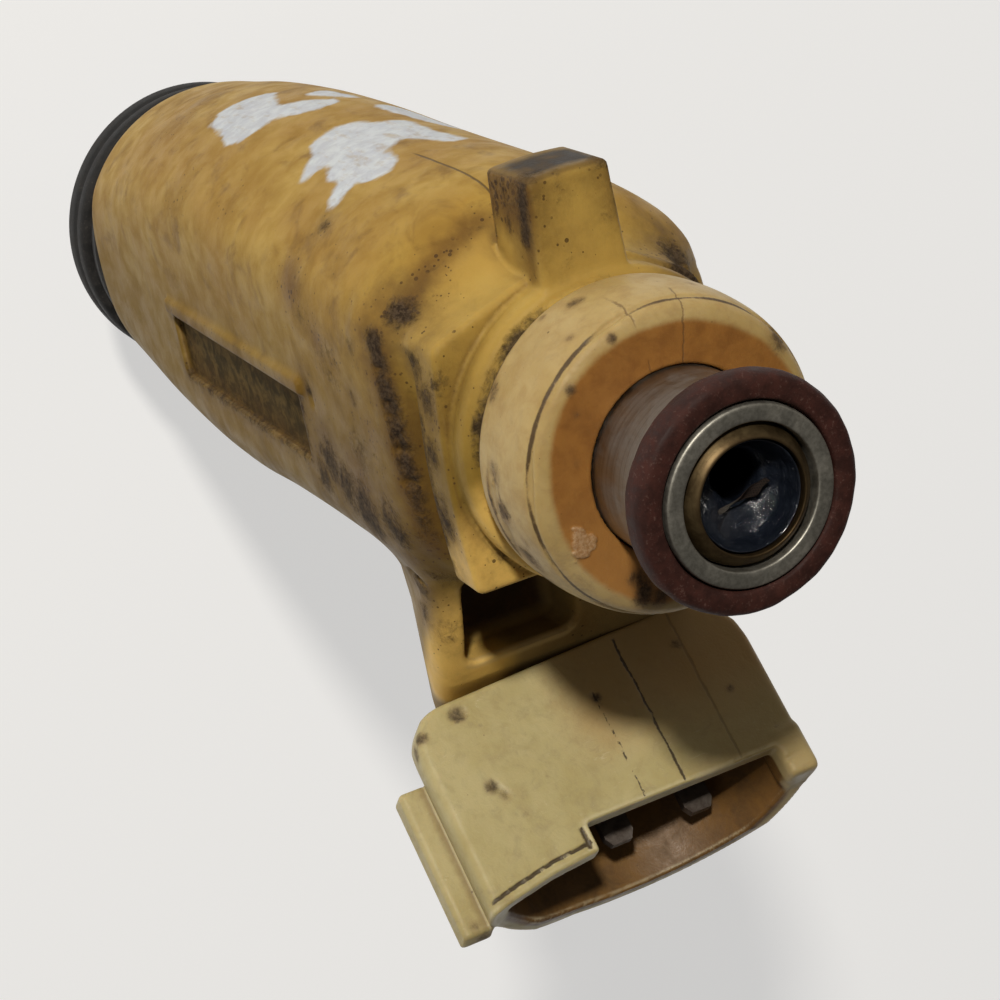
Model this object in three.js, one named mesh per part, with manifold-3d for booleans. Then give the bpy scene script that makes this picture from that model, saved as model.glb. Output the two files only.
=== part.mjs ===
// Top-feed port fuel injector, two-pin, with a moulded body, an angled socket and a locating peg.
// Millimetres. +Z runs along the valve's axis from the spray tip (z = 0) to the fuel inlet.
// +Y is the side of the locating peg; the socket leaves the body on the -Y side, 45 degrees towards the inlet.
import * as THREE from 'three';
import { mergeVertices } from 'three/addons/utils/BufferGeometryUtils.js';
import Module from 'manifold-3d';

const wasm = await Module();
wasm.setup();

// ---- driving dimensions ----
const RING_Z = 88.0;            // middle of the inlet O-ring above the spray tip
const RING_R = 5.8;             // outer radius of the inlet O-ring
const LIP_Z = 88.78;            // end face of the inlet tube
const LIP_R = 4.39;
const TUBE_R = 4.66;            // inlet tube
const FILTER_BORE_R = 3.5;      // counterbore that takes the filter
const CORE_BORE_R = 2.0;        // fuel way through the fixed core
const COLLAR_TOP_Z = 82.13;     // front face of the inlet collar
const COLLAR_R = 8.15;
const COLLAR_BOTTOM_Z = 76.35;
const PLATE_FRONT_Z = 74.0;     // front plate
const PLATE_BACK_Z = 71.2;
const PEG_TOP_Y = 13.5;         // locating peg
const PEG_FRONT_Z = 75.4;
const PEG_BACK_Z = 70.4;
const PEG_HALF_TOP = 2.05;
const PEG_HALF_FOOT = 2.35;
const BODY_BOTTOM_Z = 16.0;     // moulded body
const BODY_TOP_Z = 70.3;
const FLAT_X = 9.7;             // the body's two flat sides
const BODY_SHIFT_Y = 0.45;      // the round body's middle stands this far towards the peg
const CAVITY_R = 8.6;           // hollow that holds the solenoid
const CAVITY_TOP_Z = 51.6;
const SOCKET_ANGLE = Math.PI / 4;
const SOCKET_TOP_N = -28.6;     // outer face of the socket's top wall, below the inlet O-ring's middle
const SOCKET_MOUTH_C = 7.4;
const SOCKET_BACK_C = -5.5;
const SOCKET_FLOOR_C = -2.2;
const SOCKET_ARC_R = 11.1;      // the socket's curved underside
const SOCKET_ARC_N = -27.0;
const SOCKET_WALL = 1.25;
const BLADE_N = -33.4;          // middle of the blades' thickness
const BLADE_X = 2.6;            // each blade's distance from the middle of the pair
const BLADE_SHIFT_X = 2.1;      // the pair stands off the body's middle in the socket, so each strip has a jog
const BLADE_JOG_C0 = -14.5, BLADE_JOG_C1 = -10;
const BLADE_TIP_C = 5.0;
const BLADE_HALF_W = 0.9;
const BLADE_HALF_T = 0.3;
const POLE_Z = 40.0;            // lower face of the fixed core
const VALVE_GAP = 0.15;         // armature to core when the valve is shut
const ARMATURE_R = 3.6;
const SEG = 40;
const SEG_SMALL = 24;

// ---- helpers ----
function solid(geometry) {
  const g = geometry.index ? geometry.toNonIndexed() : geometry.clone();
  g.deleteAttribute('normal');
  g.deleteAttribute('uv');
  const m = mergeVertices(g, 1e-4);
  const idx = m.index.array;
  const keep = [];
  for (let i = 0; i < idx.length; i += 3) {
    const a = idx[i], b = idx[i + 1], c = idx[i + 2];
    if (a !== b && b !== c && a !== c) keep.push(a, b, c);
  }
  return new wasm.Manifold(new wasm.Mesh({
    numProp: 3,
    vertProperties: new Float32Array(m.attributes.position.array),
    triVerts: new Uint32Array(keep),
  }));
}

function geometryOf(manifold) {
  const mesh = manifold.getMesh();
  const g = new THREE.BufferGeometry();
  g.setAttribute('position', new THREE.BufferAttribute(new Float32Array(mesh.vertProperties), 3));
  g.setIndex(new THREE.BufferAttribute(new Uint32Array(mesh.triVerts), 1));
  g.computeVertexNormals();
  return g;
}

// A turned piece: profile of [radius, z], going up the outside.
function turned(profile, seg = SEG) {
  const g = new THREE.LatheGeometry(profile.map(([r, z]) => new THREE.Vector2(r, z)), seg);
  g.rotateX(Math.PI / 2);
  return g;
}

// A turned ring: its profile closes on itself.
const ring = (profile, seg = SEG) => turned([...profile, profile[0]], seg);

// A plain round bar or tube cutter.
const bar = (r, z0, z1, seg = SEG) => turned([[0, z0], [r, z0], [r, z1], [0, z1]], seg);

function prism(points, z0, z1) {
  const shape = new THREE.Shape(points.map(([x, y]) => new THREE.Vector2(x, y)));
  const g = new THREE.ExtrudeGeometry(shape, { depth: z1 - z0, bevelEnabled: false, steps: 1 });
  g.translate(0, 0, z0);
  return g;
}

// A prism drawn in the YZ plane and running along X.
function prismYZ(points, x0, x1) {
  const g = prism(points, x0, x1);
  g.applyMatrix4(new THREE.Matrix4().makeBasis(
    new THREE.Vector3(0, 1, 0), new THREE.Vector3(0, 0, 1), new THREE.Vector3(1, 0, 0)));
  return g;
}

// A prism drawn in the XZ plane and running along -Y from y1 to y0.
function prismXZ(points, y0, y1) {
  const g = prism(points, -y1, -y0);
  g.applyMatrix4(new THREE.Matrix4().makeBasis(
    new THREE.Vector3(1, 0, 0), new THREE.Vector3(0, 0, 1), new THREE.Vector3(0, -1, 0)));
  return g;
}

function block(x0, x1, y0, y1, z0, z1) {
  const g = new THREE.BoxGeometry(x1 - x0, y1 - y0, z1 - z0);
  g.translate((x0 + x1) / 2, (y0 + y1) / 2, (z0 + z1) / 2);
  return g;
}

// The socket's own frame: x as the body's, y up out of its top wall, z out of its mouth.
const socketMatrix = new THREE.Matrix4().makeRotationX(SOCKET_ANGLE).setPosition(0, 0, RING_Z);
const inSocket = (g) => g.clone().applyMatrix4(socketMatrix);
const S2 = Math.SQRT1_2;
const yOf = (n, c) => (n - c) * S2;
const zOf = (n, c) => RING_Z + (n + c) * S2;

// A terminal strip seen square to its face, with its jog: [x, c] points, anticlockwise.
function stripPlan(side, half, c0, c1, chamfer = 0) {
  const a = side * BLADE_X, b = a + BLADE_SHIFT_X;
  return [
    [a - half, c0], [a + half, c0], [a + half, BLADE_JOG_C0], [b + half, BLADE_JOG_C1],
    ...(chamfer ? [[b + half, c1 - chamfer], [b + half - chamfer * 0.6, c1], [b - half + chamfer * 0.6, c1], [b - half, c1 - chamfer]]
      : [[b + half, c1], [b - half, c1]]), [b - half, BLADE_JOG_C1], [a - half, BLADE_JOG_C0],
  ];
}

const part = new THREE.Group();
const socket = new THREE.Group();
socket.position.set(0, 0, RING_Z);
socket.rotation.x = SOCKET_ANGLE;
part.add(socket);

function add(name, geometry, color, roughness, metalness, parent = part) {
  const mesh = new THREE.Mesh(geometry, new THREE.MeshStandardMaterial({ color, roughness, metalness }));
  mesh.name = name;
  parent.add(mesh);
  return mesh;
}

const YELLOW = 0xc99a4e, CREAM = 0xd9c48c, STEEL = 0x9a9a98, DARK_STEEL = 0x77777a, BRASS = 0x7d6a42,
  OXIDE_RUBBER = 0x5a302b, BLACK_RUBBER = 0x1c1c1e, DARK_PLASTIC = 0x20252c, COPPER = 0xa8643a, TIN = 0xa9a9a4;

// ---- moulded body ----
{
  const shell = turned([
    [0, BODY_BOTTOM_Z], [9.6, BODY_BOTTOM_Z], [10.35, BODY_BOTTOM_Z + 0.8], [10.85, 22], [11.45, 27], [11.85, 32],
    [12.15, 37], [12.2, 43], [11.9, 48], [11.75, 54], [11.7, 60], [11.6, 65], [11.3, 67.2], [10.6, 68.7], [9.6, 69.7],
    [8.6, BODY_TOP_Z], [0, BODY_TOP_Z],
  ]);
  shell.translate(0, BODY_SHIFT_Y, 0);
  let body = solid(shell).intersect(solid(block(-FLAT_X, FLAT_X, -12.5, 14, 10, 75)));

  // ridges over the sunk panels on the flat sides
  for (const s of [-1, 1])
    body = body.add(solid(block(s > 0 ? FLAT_X - 0.6 : -FLAT_X - 0.35, s > 0 ? FLAT_X + 0.35 : -FLAT_X + 0.6, 0.45, 1.35, 33, 57)));

  // front plate, and the narrower neck behind it that leaves a slot at each side
  const plate = [[-8.3, -6.9], [8.3, -6.9], [8.8, -1], [8.3, 2.6], [6.6, 6.3], [2.5, 8.4], [-2.5, 8.4], [-8.2, 6.3], [-8.8, -1]];
  body = body.add(solid(prism(plate, PLATE_BACK_Z, PLATE_FRONT_Z)));
  body = body.add(solid(prism([[-7.5, -6.1], [7.5, -6.1], [7.5, 5.6], [-7.5, 5.6]], 69.5, PLATE_BACK_Z + 0.2)));
  body = body.add(solid(prism([[-7.9, 2.2], [7.9, 2.2], [7.6, 4.0], [6.5, 6.2], [2.4, 8.3], [-2.4, 8.3], [-7.9, 6.2]], 68.5, PLATE_BACK_Z + 0.3)));

  // second collar and the groove neck that the inlet collar stands on
  body = body.add(solid(turned([[0, PLATE_FRONT_Z - 0.3], [8.25, PLATE_FRONT_Z - 0.3], [8.3, 75.3], [8.0, 75.6], [7.55, 75.65], [7.55, 76.3], [0, 76.3]])));

  // locating peg, with a slight draft
  const peg = new THREE.BoxGeometry(2, PEG_TOP_Y - 6.5, PEG_FRONT_Z - PEG_BACK_Z);
  peg.translate(0, (PEG_TOP_Y + 6.5) / 2, (PEG_FRONT_Z + PEG_BACK_Z) / 2);
  const pp = peg.attributes.position;
  for (let i = 0; i < pp.count; i++) pp.setX(i, Math.sign(pp.getX(i)) * (pp.getY(i) > 10 ? PEG_HALF_TOP : PEG_HALF_FOOT));
  body = body.add(solid(peg));

  // bridge to the socket
  const side = [[-6, 48], [-11.5, 50.3], [-19, 54.6], [-22.2, 57.4], [yOf(-28.8, -5.8), zOf(-28.8, -5.8)], [-13.5, 65.3], [-10.5, 66.4], [-6, 66.8]];
  // the underside is trimmed square to the socket's back
  const back = inSocket(block(-9, 9, -45, -20, -5.8, 12));
  const front = [[-4.3, 47], [4.5, 47], [5.7, 54], [8.3, 62.5], [8.3, 68], [-8.3, 68], [-7.8, 62.5], [-4.9, 54]];
  const bridge = solid(prismYZ(side, -8.4, 8.4)).intersect(solid(prismXZ(front, -30, 0))).subtract(solid(back));
  body = body.add(bridge);

  // hollow for the solenoid, bore for the inlet tube, ways for the terminals and their carrier
  body = body.subtract(solid(bar(CAVITY_R, 10, CAVITY_TOP_Z)));
  body = body.subtract(solid(bar(4.9, 50, 80)));
  for (const s of [-1, 1])
    body = body.subtract(solid(inSocket(prismXZ(stripPlan(s, 1.12, -22.5, -5), BLADE_N - 0.7, BLADE_N + 0.7))))
      .subtract(solid(block(s * BLADE_X - 1.1, s * BLADE_X + 1.1, -10.3, -7, 50, 51.4)));
  body = body.subtract(solid(inSocket(block(BLADE_SHIFT_X - 4.3, BLADE_SHIFT_X + 4.3, -35.6, -31.2, -7.8, -4))));

  // sunk panels on the flat sides
  for (const s of [-1, 1])
    body = body.subtract(solid(block(s > 0 ? FLAT_X - 0.5 : -FLAT_X - 2, s > 0 ? FLAT_X + 2 : -FLAT_X + 0.5, -3.8, 0.25, 33.4, 55.8)));

  add('main_housing', geometryOf(body), YELLOW, 0.6, 0);
}

// ---- inlet collar ----
add('inlet_collar', ring([
  [4.8, COLLAR_BOTTOM_Z + 0.05], [7.75, COLLAR_BOTTOM_Z + 0.05], [COLLAR_R, 76.9], [8.18, 79], [8.05, 80.6], [7.85, 81.46], [7.55, 81.9],
  [7.05, COLLAR_TOP_Z], [4.8, COLLAR_TOP_Z],
]), CREAM, 0.55, 0);

// ---- socket ----
{
  const arc = (r, halfX) => {
    const pts = [];
    const a0 = Math.asin(halfX / r);
    for (let i = 0; i <= 18; i++) {
      const a = -a0 + (2 * a0 * i) / 18;
      pts.push([r * Math.sin(a), SOCKET_ARC_N - r * Math.cos(a)]);
    }
    return pts; // from -x to +x along the underside
  };
  const outer = [...arc(SOCKET_ARC_R, 10.63), [10.5, -29.3], [10.1, -28.8], [9.6, SOCKET_TOP_N], [-9.6, SOCKET_TOP_N], [-10.1, -28.8], [-10.5, -29.3]];
  const inner = [...arc(SOCKET_ARC_R - SOCKET_WALL, 9.15), [8.9, -29.9], [-8.9, -29.9]];
  const plan = [[-8.2, -5.5], [8.2, -5.5], [9.8, -4.7], [10.5, -3.6], [10.75, -2.4], [10.75, 9], [-10.75, 9], [-10.75, -2.4], [-10.5, -3.6], [-9.8, -4.7]];
  // drawn in x and z, running along y
  let shell = solid(prism(outer, SOCKET_BACK_C, SOCKET_MOUTH_C)).intersect(solid(prismXZ(plan, -45, -20)));
  shell = shell.add(solid(block(-11.7, -9.9, -33.3, -31.8, -1.8, 7.3)));
  shell = shell.subtract(solid(prism(inner, SOCKET_FLOOR_C, 9)));
  shell = shell.subtract(solid(block(-3.6, 8.7, -30.6, -27, 4.3, 9)));
  shell = shell.subtract(solid(block(8.6, 12, -31.2, -27, 6.4, 9)));
  shell = shell.subtract(solid(block(BLADE_SHIFT_X - 4.3, BLADE_SHIFT_X + 4.3, -35.6, -31.2, -7, -1)));
  add('connector_shell', geometryOf(shell), CREAM, 0.5, 0, socket);

  let carrier = solid(block(BLADE_SHIFT_X - 4.05, BLADE_SHIFT_X + 4.05, -35.3, -31.5, -7.5, -2.4));
  for (const s of [-1, 1])
    carrier = carrier.subtract(solid(block(s * BLADE_X + BLADE_SHIFT_X - 1.05, s * BLADE_X + BLADE_SHIFT_X + 1.05, BLADE_N - 0.45, BLADE_N + 0.45, -11, 0)));
  add('terminal_carrier', geometryOf(carrier), CREAM, 0.6, 0, socket);
}

// ---- terminals: a tab over the coil, then a strip with a jog to the blade's tip ----
{
  const tabZ = 50.6, tabY0 = -6.2;
  const bendY = RING_Z + BLADE_N / S2 - tabZ; // where the strip's middle line meets the tab's
  const t = BLADE_HALF_T;
  const tip = [yOf(BLADE_N, BLADE_JOG_C0 - 1), zOf(BLADE_N, BLADE_JOG_C0 - 1)];
  const outline = [
    [tabY0, tabZ + t], [bendY + t * 0.4142, tabZ + t],
    [tip[0] + t * S2, tip[1] + t * S2], [tip[0] - t * S2, tip[1] - t * S2],
    [bendY - t * 0.4142, tabZ - t], [tabY0, tabZ - t],
  ];
  ['terminal_pin_a', 'terminal_pin_b'].forEach((name, i) => {
    const s = i ? 1 : -1, x = s * BLADE_X;
    const blade = solid(prismYZ(outline, x - BLADE_HALF_W, x + BLADE_HALF_W))
      .add(solid(inSocket(prismXZ(stripPlan(s, BLADE_HALF_W, BLADE_JOG_C0 - 2, BLADE_TIP_C, 0.5), BLADE_N - t, BLADE_N + t))));
    add(name, geometryOf(blade), TIN, 0.35, 1);
  });
}

// ---- inlet tube, which is also the fixed core ----
add('inlet_tube', ring([
  [CORE_BORE_R, POLE_Z], [3.6, POLE_Z], [3.6, 41.7], [TUBE_R, 41.7], [TUBE_R, 86.7], [3.95, 86.75], [3.95, 88.15], [LIP_R, 88.2],
  [LIP_R, LIP_Z - 0.12], [LIP_R - 0.12, LIP_Z], [FILTER_BORE_R + 0.1, LIP_Z], [FILTER_BORE_R, LIP_Z - 0.1], [FILTER_BORE_R, 78], [CORE_BORE_R, 77],
]), STEEL, 0.28, 1);

add('inlet_oring', ring([
  [4.05, 86.85], [5.2, 86.8], [5.62, 87.2], [RING_R, RING_Z], [5.74, 88.35], [5.4, 88.72], [4.7, 88.74], [4.5, 88.4], [4.45, 88.08], [4.05, 88.05],
]), OXIDE_RUBBER, 0.8, 0);

// ---- inlet filter ----
add('filter_collar', ring([
  [2.78, 85.5], [3.42, 85.5], [3.42, 88.6], [3.32, 88.82], [3.1, 88.9], [2.88, 88.82], [2.78, 88.6],
], SEG_SMALL), BRASS, 0.4, 1);
add('filter_basket', turned([
  [0, 76.4], [1.75, 76.4], [1.9, 77.0], [2.2, 83.9], [3.3, 84.5], [3.3, 85.35], [2.7, 85.4], [2.7, 88.2], [2.6, 88.25], [1.75, 85.0], [1.55, 77.5], [0, 77.3],
], SEG_SMALL), DARK_PLASTIC, 0.3, 0);

// ---- valve ----
add('adjusting_sleeve', ring([[1.1, 46.2], [1.85, 46.2], [1.93, 46.4], [1.93, 57.8], [1.85, 58], [1.1, 58]], SEG_SMALL), STEEL, 0.4, 1);
{
  // compression spring between the armature's pocket and the adjusting sleeve
  const turns = 7, r = 1.25, z0 = 34.56, z1 = 45.88;
  class Helix extends THREE.Curve {
    getPoint(t, target = new THREE.Vector3()) {
      const a = t * turns * 2 * Math.PI;
      return target.set(r * Math.cos(a), r * Math.sin(a), z0 + (z1 - z0) * t);
    }
  }
  const section = new THREE.Shape();
  for (let i = 0; i < 6; i++) {
    const a = (i * Math.PI) / 3;
    if (i) section.lineTo(0.24 * Math.cos(a), 0.24 * Math.sin(a));
    else section.moveTo(0.24, 0);
  }
  add('return_spring', new THREE.ExtrudeGeometry(section, { steps: turns * 12, bevelEnabled: false, extrudePath: new Helix() }), STEEL, 0.35, 1);
}
add('armature', ring([
  [1.25, 30], [3.45, 30], [ARMATURE_R, 30.3], [ARMATURE_R, POLE_Z - VALVE_GAP - 0.2], [3.4, POLE_Z - VALVE_GAP], [1.75, POLE_Z - VALVE_GAP], [1.75, 34.2], [0.8, 34.2], [0.8, 32.2], [1.25, 32.2],
], SEG_SMALL), DARK_STEEL, 0.4, 1);
add('needle_valve', turned([
  [0, 1.95], [0.25, 2.0], [1.45, 4.0], [1.72, 4.6], [1.72, 7.6], [1.0, 8.1], [1.0, 10.9], [2.4, 11.0], [2.4, 12.0], [1.0, 12.0], [1.0, 29.9], [1.2, 30.05], [1.2, 32.0], [0, 32.0],
], SEG_SMALL), STEEL, 0.25, 1);

// ---- solenoid ----
add('nonmagnetic_ring', ring([[3.78, 35.9], [4.72, 35.9], [4.72, 41.55], [3.78, 41.55]], SEG_SMALL), STEEL, 0.35, 1);
{
  let bobbin = solid(ring([[4.92, 24.5], [7.5, 24.5], [7.5, 25.7], [5.75, 25.7], [5.75, 46.2], [7.5, 46.2], [7.5, 47.4], [4.92, 47.4]], SEG_SMALL));
  for (const s of [-1, 1]) bobbin = bobbin.add(solid(block(s * BLADE_X - 0.8, s * BLADE_X + 0.8, -6.6, -6.02, 46.6, 50.15)));
  add('coil_bobbin', geometryOf(bobbin), 0x3a3a36, 0.6, 0);
}
add('coil_winding', ring([[5.85, 25.8], [7.2, 25.8], [7.2, 46.1], [5.85, 46.1]], SEG_SMALL), COPPER, 0.45, 0.6);
add('solenoid_can', ring([[5.3, 22], [8.4, 22], [8.4, 50], [7.7, 50], [7.7, 23.2], [5.3, 23.2]], SEG_SMALL), DARK_STEEL, 0.45, 1);
{
  let washer = solid(ring([[4.8, 48.75], [7.6, 48.75], [7.6, 49.9], [4.8, 49.9]], SEG_SMALL));
  washer = washer.subtract(solid(block(-4.2, 4.2, -9, -5.2, 48, 51)));
  add('magnet_washer', geometryOf(washer), DARK_STEEL, 0.45, 1);
}
{
  const rubberRing = (r, z, w, h, seg) => {
    const pts = [];
    for (let i = 0; i < 10; i++) pts.push([r + w * Math.cos((i * Math.PI) / 5), z + h * Math.sin((i * Math.PI) / 5)]);
    return ring(pts, seg);
  };
  add('bobbin_oring_upper', rubberRing(5.4, 48.05, 0.55, 0.55, SEG_SMALL), BLACK_RUBBER, 0.85, 0);
  add('bobbin_oring_lower', rubberRing(5.55, 23.85, 0.55, 0.55, SEG_SMALL), BLACK_RUBBER, 0.85, 0);
  add('tip_seal_ring', rubberRing(5.85, 7.55, 0.9, 0.95, 36), BLACK_RUBBER, 0.85, 0);
}

// ---- lower end ----
add('lower_housing', ring([
  [4.0, 3.4], [4.9, 3.4], [4.9, 8.9], [8.2, 8.9], [8.2, 10.2], [7.0, 10.3], [7.0, 15.5], [8.5, 15.6], [8.5, 21.85], [4.75, 21.85], [4.75, 35.8],
  [3.75, 35.8], [3.75, 28], [2.6, 28], [2.6, 13.25], [4.0, 13.25],
]), STEEL, 0.35, 1);
{
  let plate = solid(ring([[1.3, 12.14], [3.9, 12.14], [3.9, 13.14], [1.3, 13.14]], SEG_SMALL));
  plate = plate.subtract(solid(block(-1.3, 1.3, 0, 6, 11, 14)));
  add('lift_stop_plate', geometryOf(plate), DARK_STEEL, 0.4, 1);
}
add('nozzle_body', ring([
  [0.4, 0.98], [3.7, 0.98], [3.9, 1.2], [3.9, 12.05], [2.75, 12.05], [2.75, 10.7], [1.8, 10.4], [1.8, 4.4], [0.42, 2.1],
], SEG_SMALL), STEEL, 0.35, 1);
{
  let plate = solid(bar(3.35, 0, 0.9, SEG_SMALL));
  for (const [x, y] of [[0.9, 0.9], [-0.9, 0.9], [-0.9, -0.9], [0.9, -0.9]]) {
    const hole = bar(0.2, -1, 2, 8);
    hole.translate(x, y, 0);
    plate = plate.subtract(solid(hole));
  }
  add('orifice_plate', geometryOf(plate), STEEL, 0.3, 1);
}
add('nozzle_cap', ring([
  [3.6, 0.35], [5.4, 0.35], [6.1, 1.0], [6.3, 2.0], [6.3, 6.3], [4.98, 6.3], [4.98, 3.2], [4.1, 3.1], [4.1, 0.95], [3.6, 0.9],
]), DARK_PLASTIC, 0.5, 0);
add('insulator_ring', ring([
  [7.1, 10.4], [9.2, 10.4], [9.9, 11.0], [10.1, 12.4], [9.9, 13.8], [9.3, 14.4], [7.1, 14.4],
]), BLACK_RUBBER, 0.85, 0);
add('backup_ring', ring([[7.1, 14.55], [9.5, 14.55], [9.5, 15.35], [7.1, 15.35]]), DARK_PLASTIC, 0.55, 0);

export default part;
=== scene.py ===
"""Fuel injector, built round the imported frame. Every length in the geometry code is in millimetres; meshes are written in metres."""
import math

import bpy
import numpy as np
from mathutils import Matrix, Vector


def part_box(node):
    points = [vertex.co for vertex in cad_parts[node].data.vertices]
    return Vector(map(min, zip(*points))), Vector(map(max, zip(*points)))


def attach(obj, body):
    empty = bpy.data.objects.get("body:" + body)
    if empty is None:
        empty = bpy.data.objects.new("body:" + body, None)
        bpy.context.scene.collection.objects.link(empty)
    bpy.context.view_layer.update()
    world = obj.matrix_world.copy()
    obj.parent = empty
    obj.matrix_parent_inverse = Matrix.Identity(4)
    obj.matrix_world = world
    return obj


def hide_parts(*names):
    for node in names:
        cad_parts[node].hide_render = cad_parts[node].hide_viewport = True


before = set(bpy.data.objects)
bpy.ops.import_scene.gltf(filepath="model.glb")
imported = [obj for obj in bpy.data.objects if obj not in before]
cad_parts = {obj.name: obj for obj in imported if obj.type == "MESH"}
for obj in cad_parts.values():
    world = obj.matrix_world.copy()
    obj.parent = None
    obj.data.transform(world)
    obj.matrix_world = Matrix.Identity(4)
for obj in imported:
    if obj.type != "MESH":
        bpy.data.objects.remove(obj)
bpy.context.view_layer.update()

S2 = math.sqrt(0.5)


def mm_box(node):
    lo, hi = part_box(node)
    return np.array(lo) * 1000.0, np.array(hi) * 1000.0


# heights read from the frame
_ring_lo, _ring_hi = mm_box("inlet_oring")
RZ = 88.0
_collar_lo, _collar_hi = mm_box("inlet_collar")
COLLAR_LO, COLLAR_HI = float(_collar_lo[2]), float(_collar_hi[2])
_house_lo, _house_hi = mm_box("main_housing")
BODY_LO = float(_house_lo[2])
PEG_TOP = float(_house_hi[1])

# =====================================================================================
# camera, lights, floor
# =====================================================================================
scene = bpy.context.scene


def make_camera():
    right = np.array([0.8879, -0.1776, 0.4243])
    up = np.array([0.3078, 0.9150, -0.2610])
    back = np.array([-0.3419, 0.3623, 0.8671])
    back /= np.linalg.norm(back)
    right -= back * right.dot(back)
    right /= np.linalg.norm(right)
    up = np.cross(back, right)
    pos = np.array([-47.09, 41.07, 89.7 + RZ]) / 1000.0
    data = bpy.data.cameras.new("camera")
    data.sensor_fit = "HORIZONTAL"
    data.sensor_width = 36.0
    data.lens = 86.4
    data.clip_start = 0.005
    data.clip_end = 20.0
    cam = bpy.data.objects.new("camera", data)
    m = Matrix.Identity(4)
    for i in range(3):
        m[i][0], m[i][1], m[i][2], m[i][3] = right[i], up[i], back[i], pos[i]
    cam.matrix_world = m
    scene.collection.objects.link(cam)
    scene.camera = cam


make_camera()


def area_light(name, direction, distance, size, watts, colour=(1, 1, 1), target=(0, -0.004, 0.07), size_y=None):
    data = bpy.data.lights.new(name, "AREA")
    data.energy = watts
    data.color = colour
    data.shape = "RECTANGLE" if size_y else "DISK"
    data.size = size
    if size_y:
        data.size_y = size_y
    o = bpy.data.objects.new(name, data)
    d = Vector(direction).normalized()
    o.location = Vector(target) + d * distance
    o.rotation_euler = d.to_track_quat("Z", "Y").to_euler()
    scene.collection.objects.link(o)
    return o


area_light("key", (-0.42, 1.0, 0.99), 0.75, 0.06, 4.5, (1.0, 0.955, 0.88), target=(0, -0.006, 0.07))
area_light("fill", (-0.9, 0.1, 0.75), 0.9, 0.6, 0.34, (1.0, 0.96, 0.90))
area_light("side", (0.95, 0.3, 0.5), 0.8, 0.4, 0.16, (1.0, 0.95, 0.88))

world = bpy.data.worlds.new("world")
scene.world = world
world.use_nodes = True
world.node_tree.nodes["Background"].inputs[0].default_value = (1.0, 0.95, 0.88, 1.0)
world.node_tree.nodes["Background"].inputs[1].default_value = 0.075

scene.view_settings.view_transform = "Standard"
scene.view_settings.look = "None"
scene.view_settings.exposure = 0.0

# =====================================================================================
# node helper
# =====================================================================================


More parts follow.
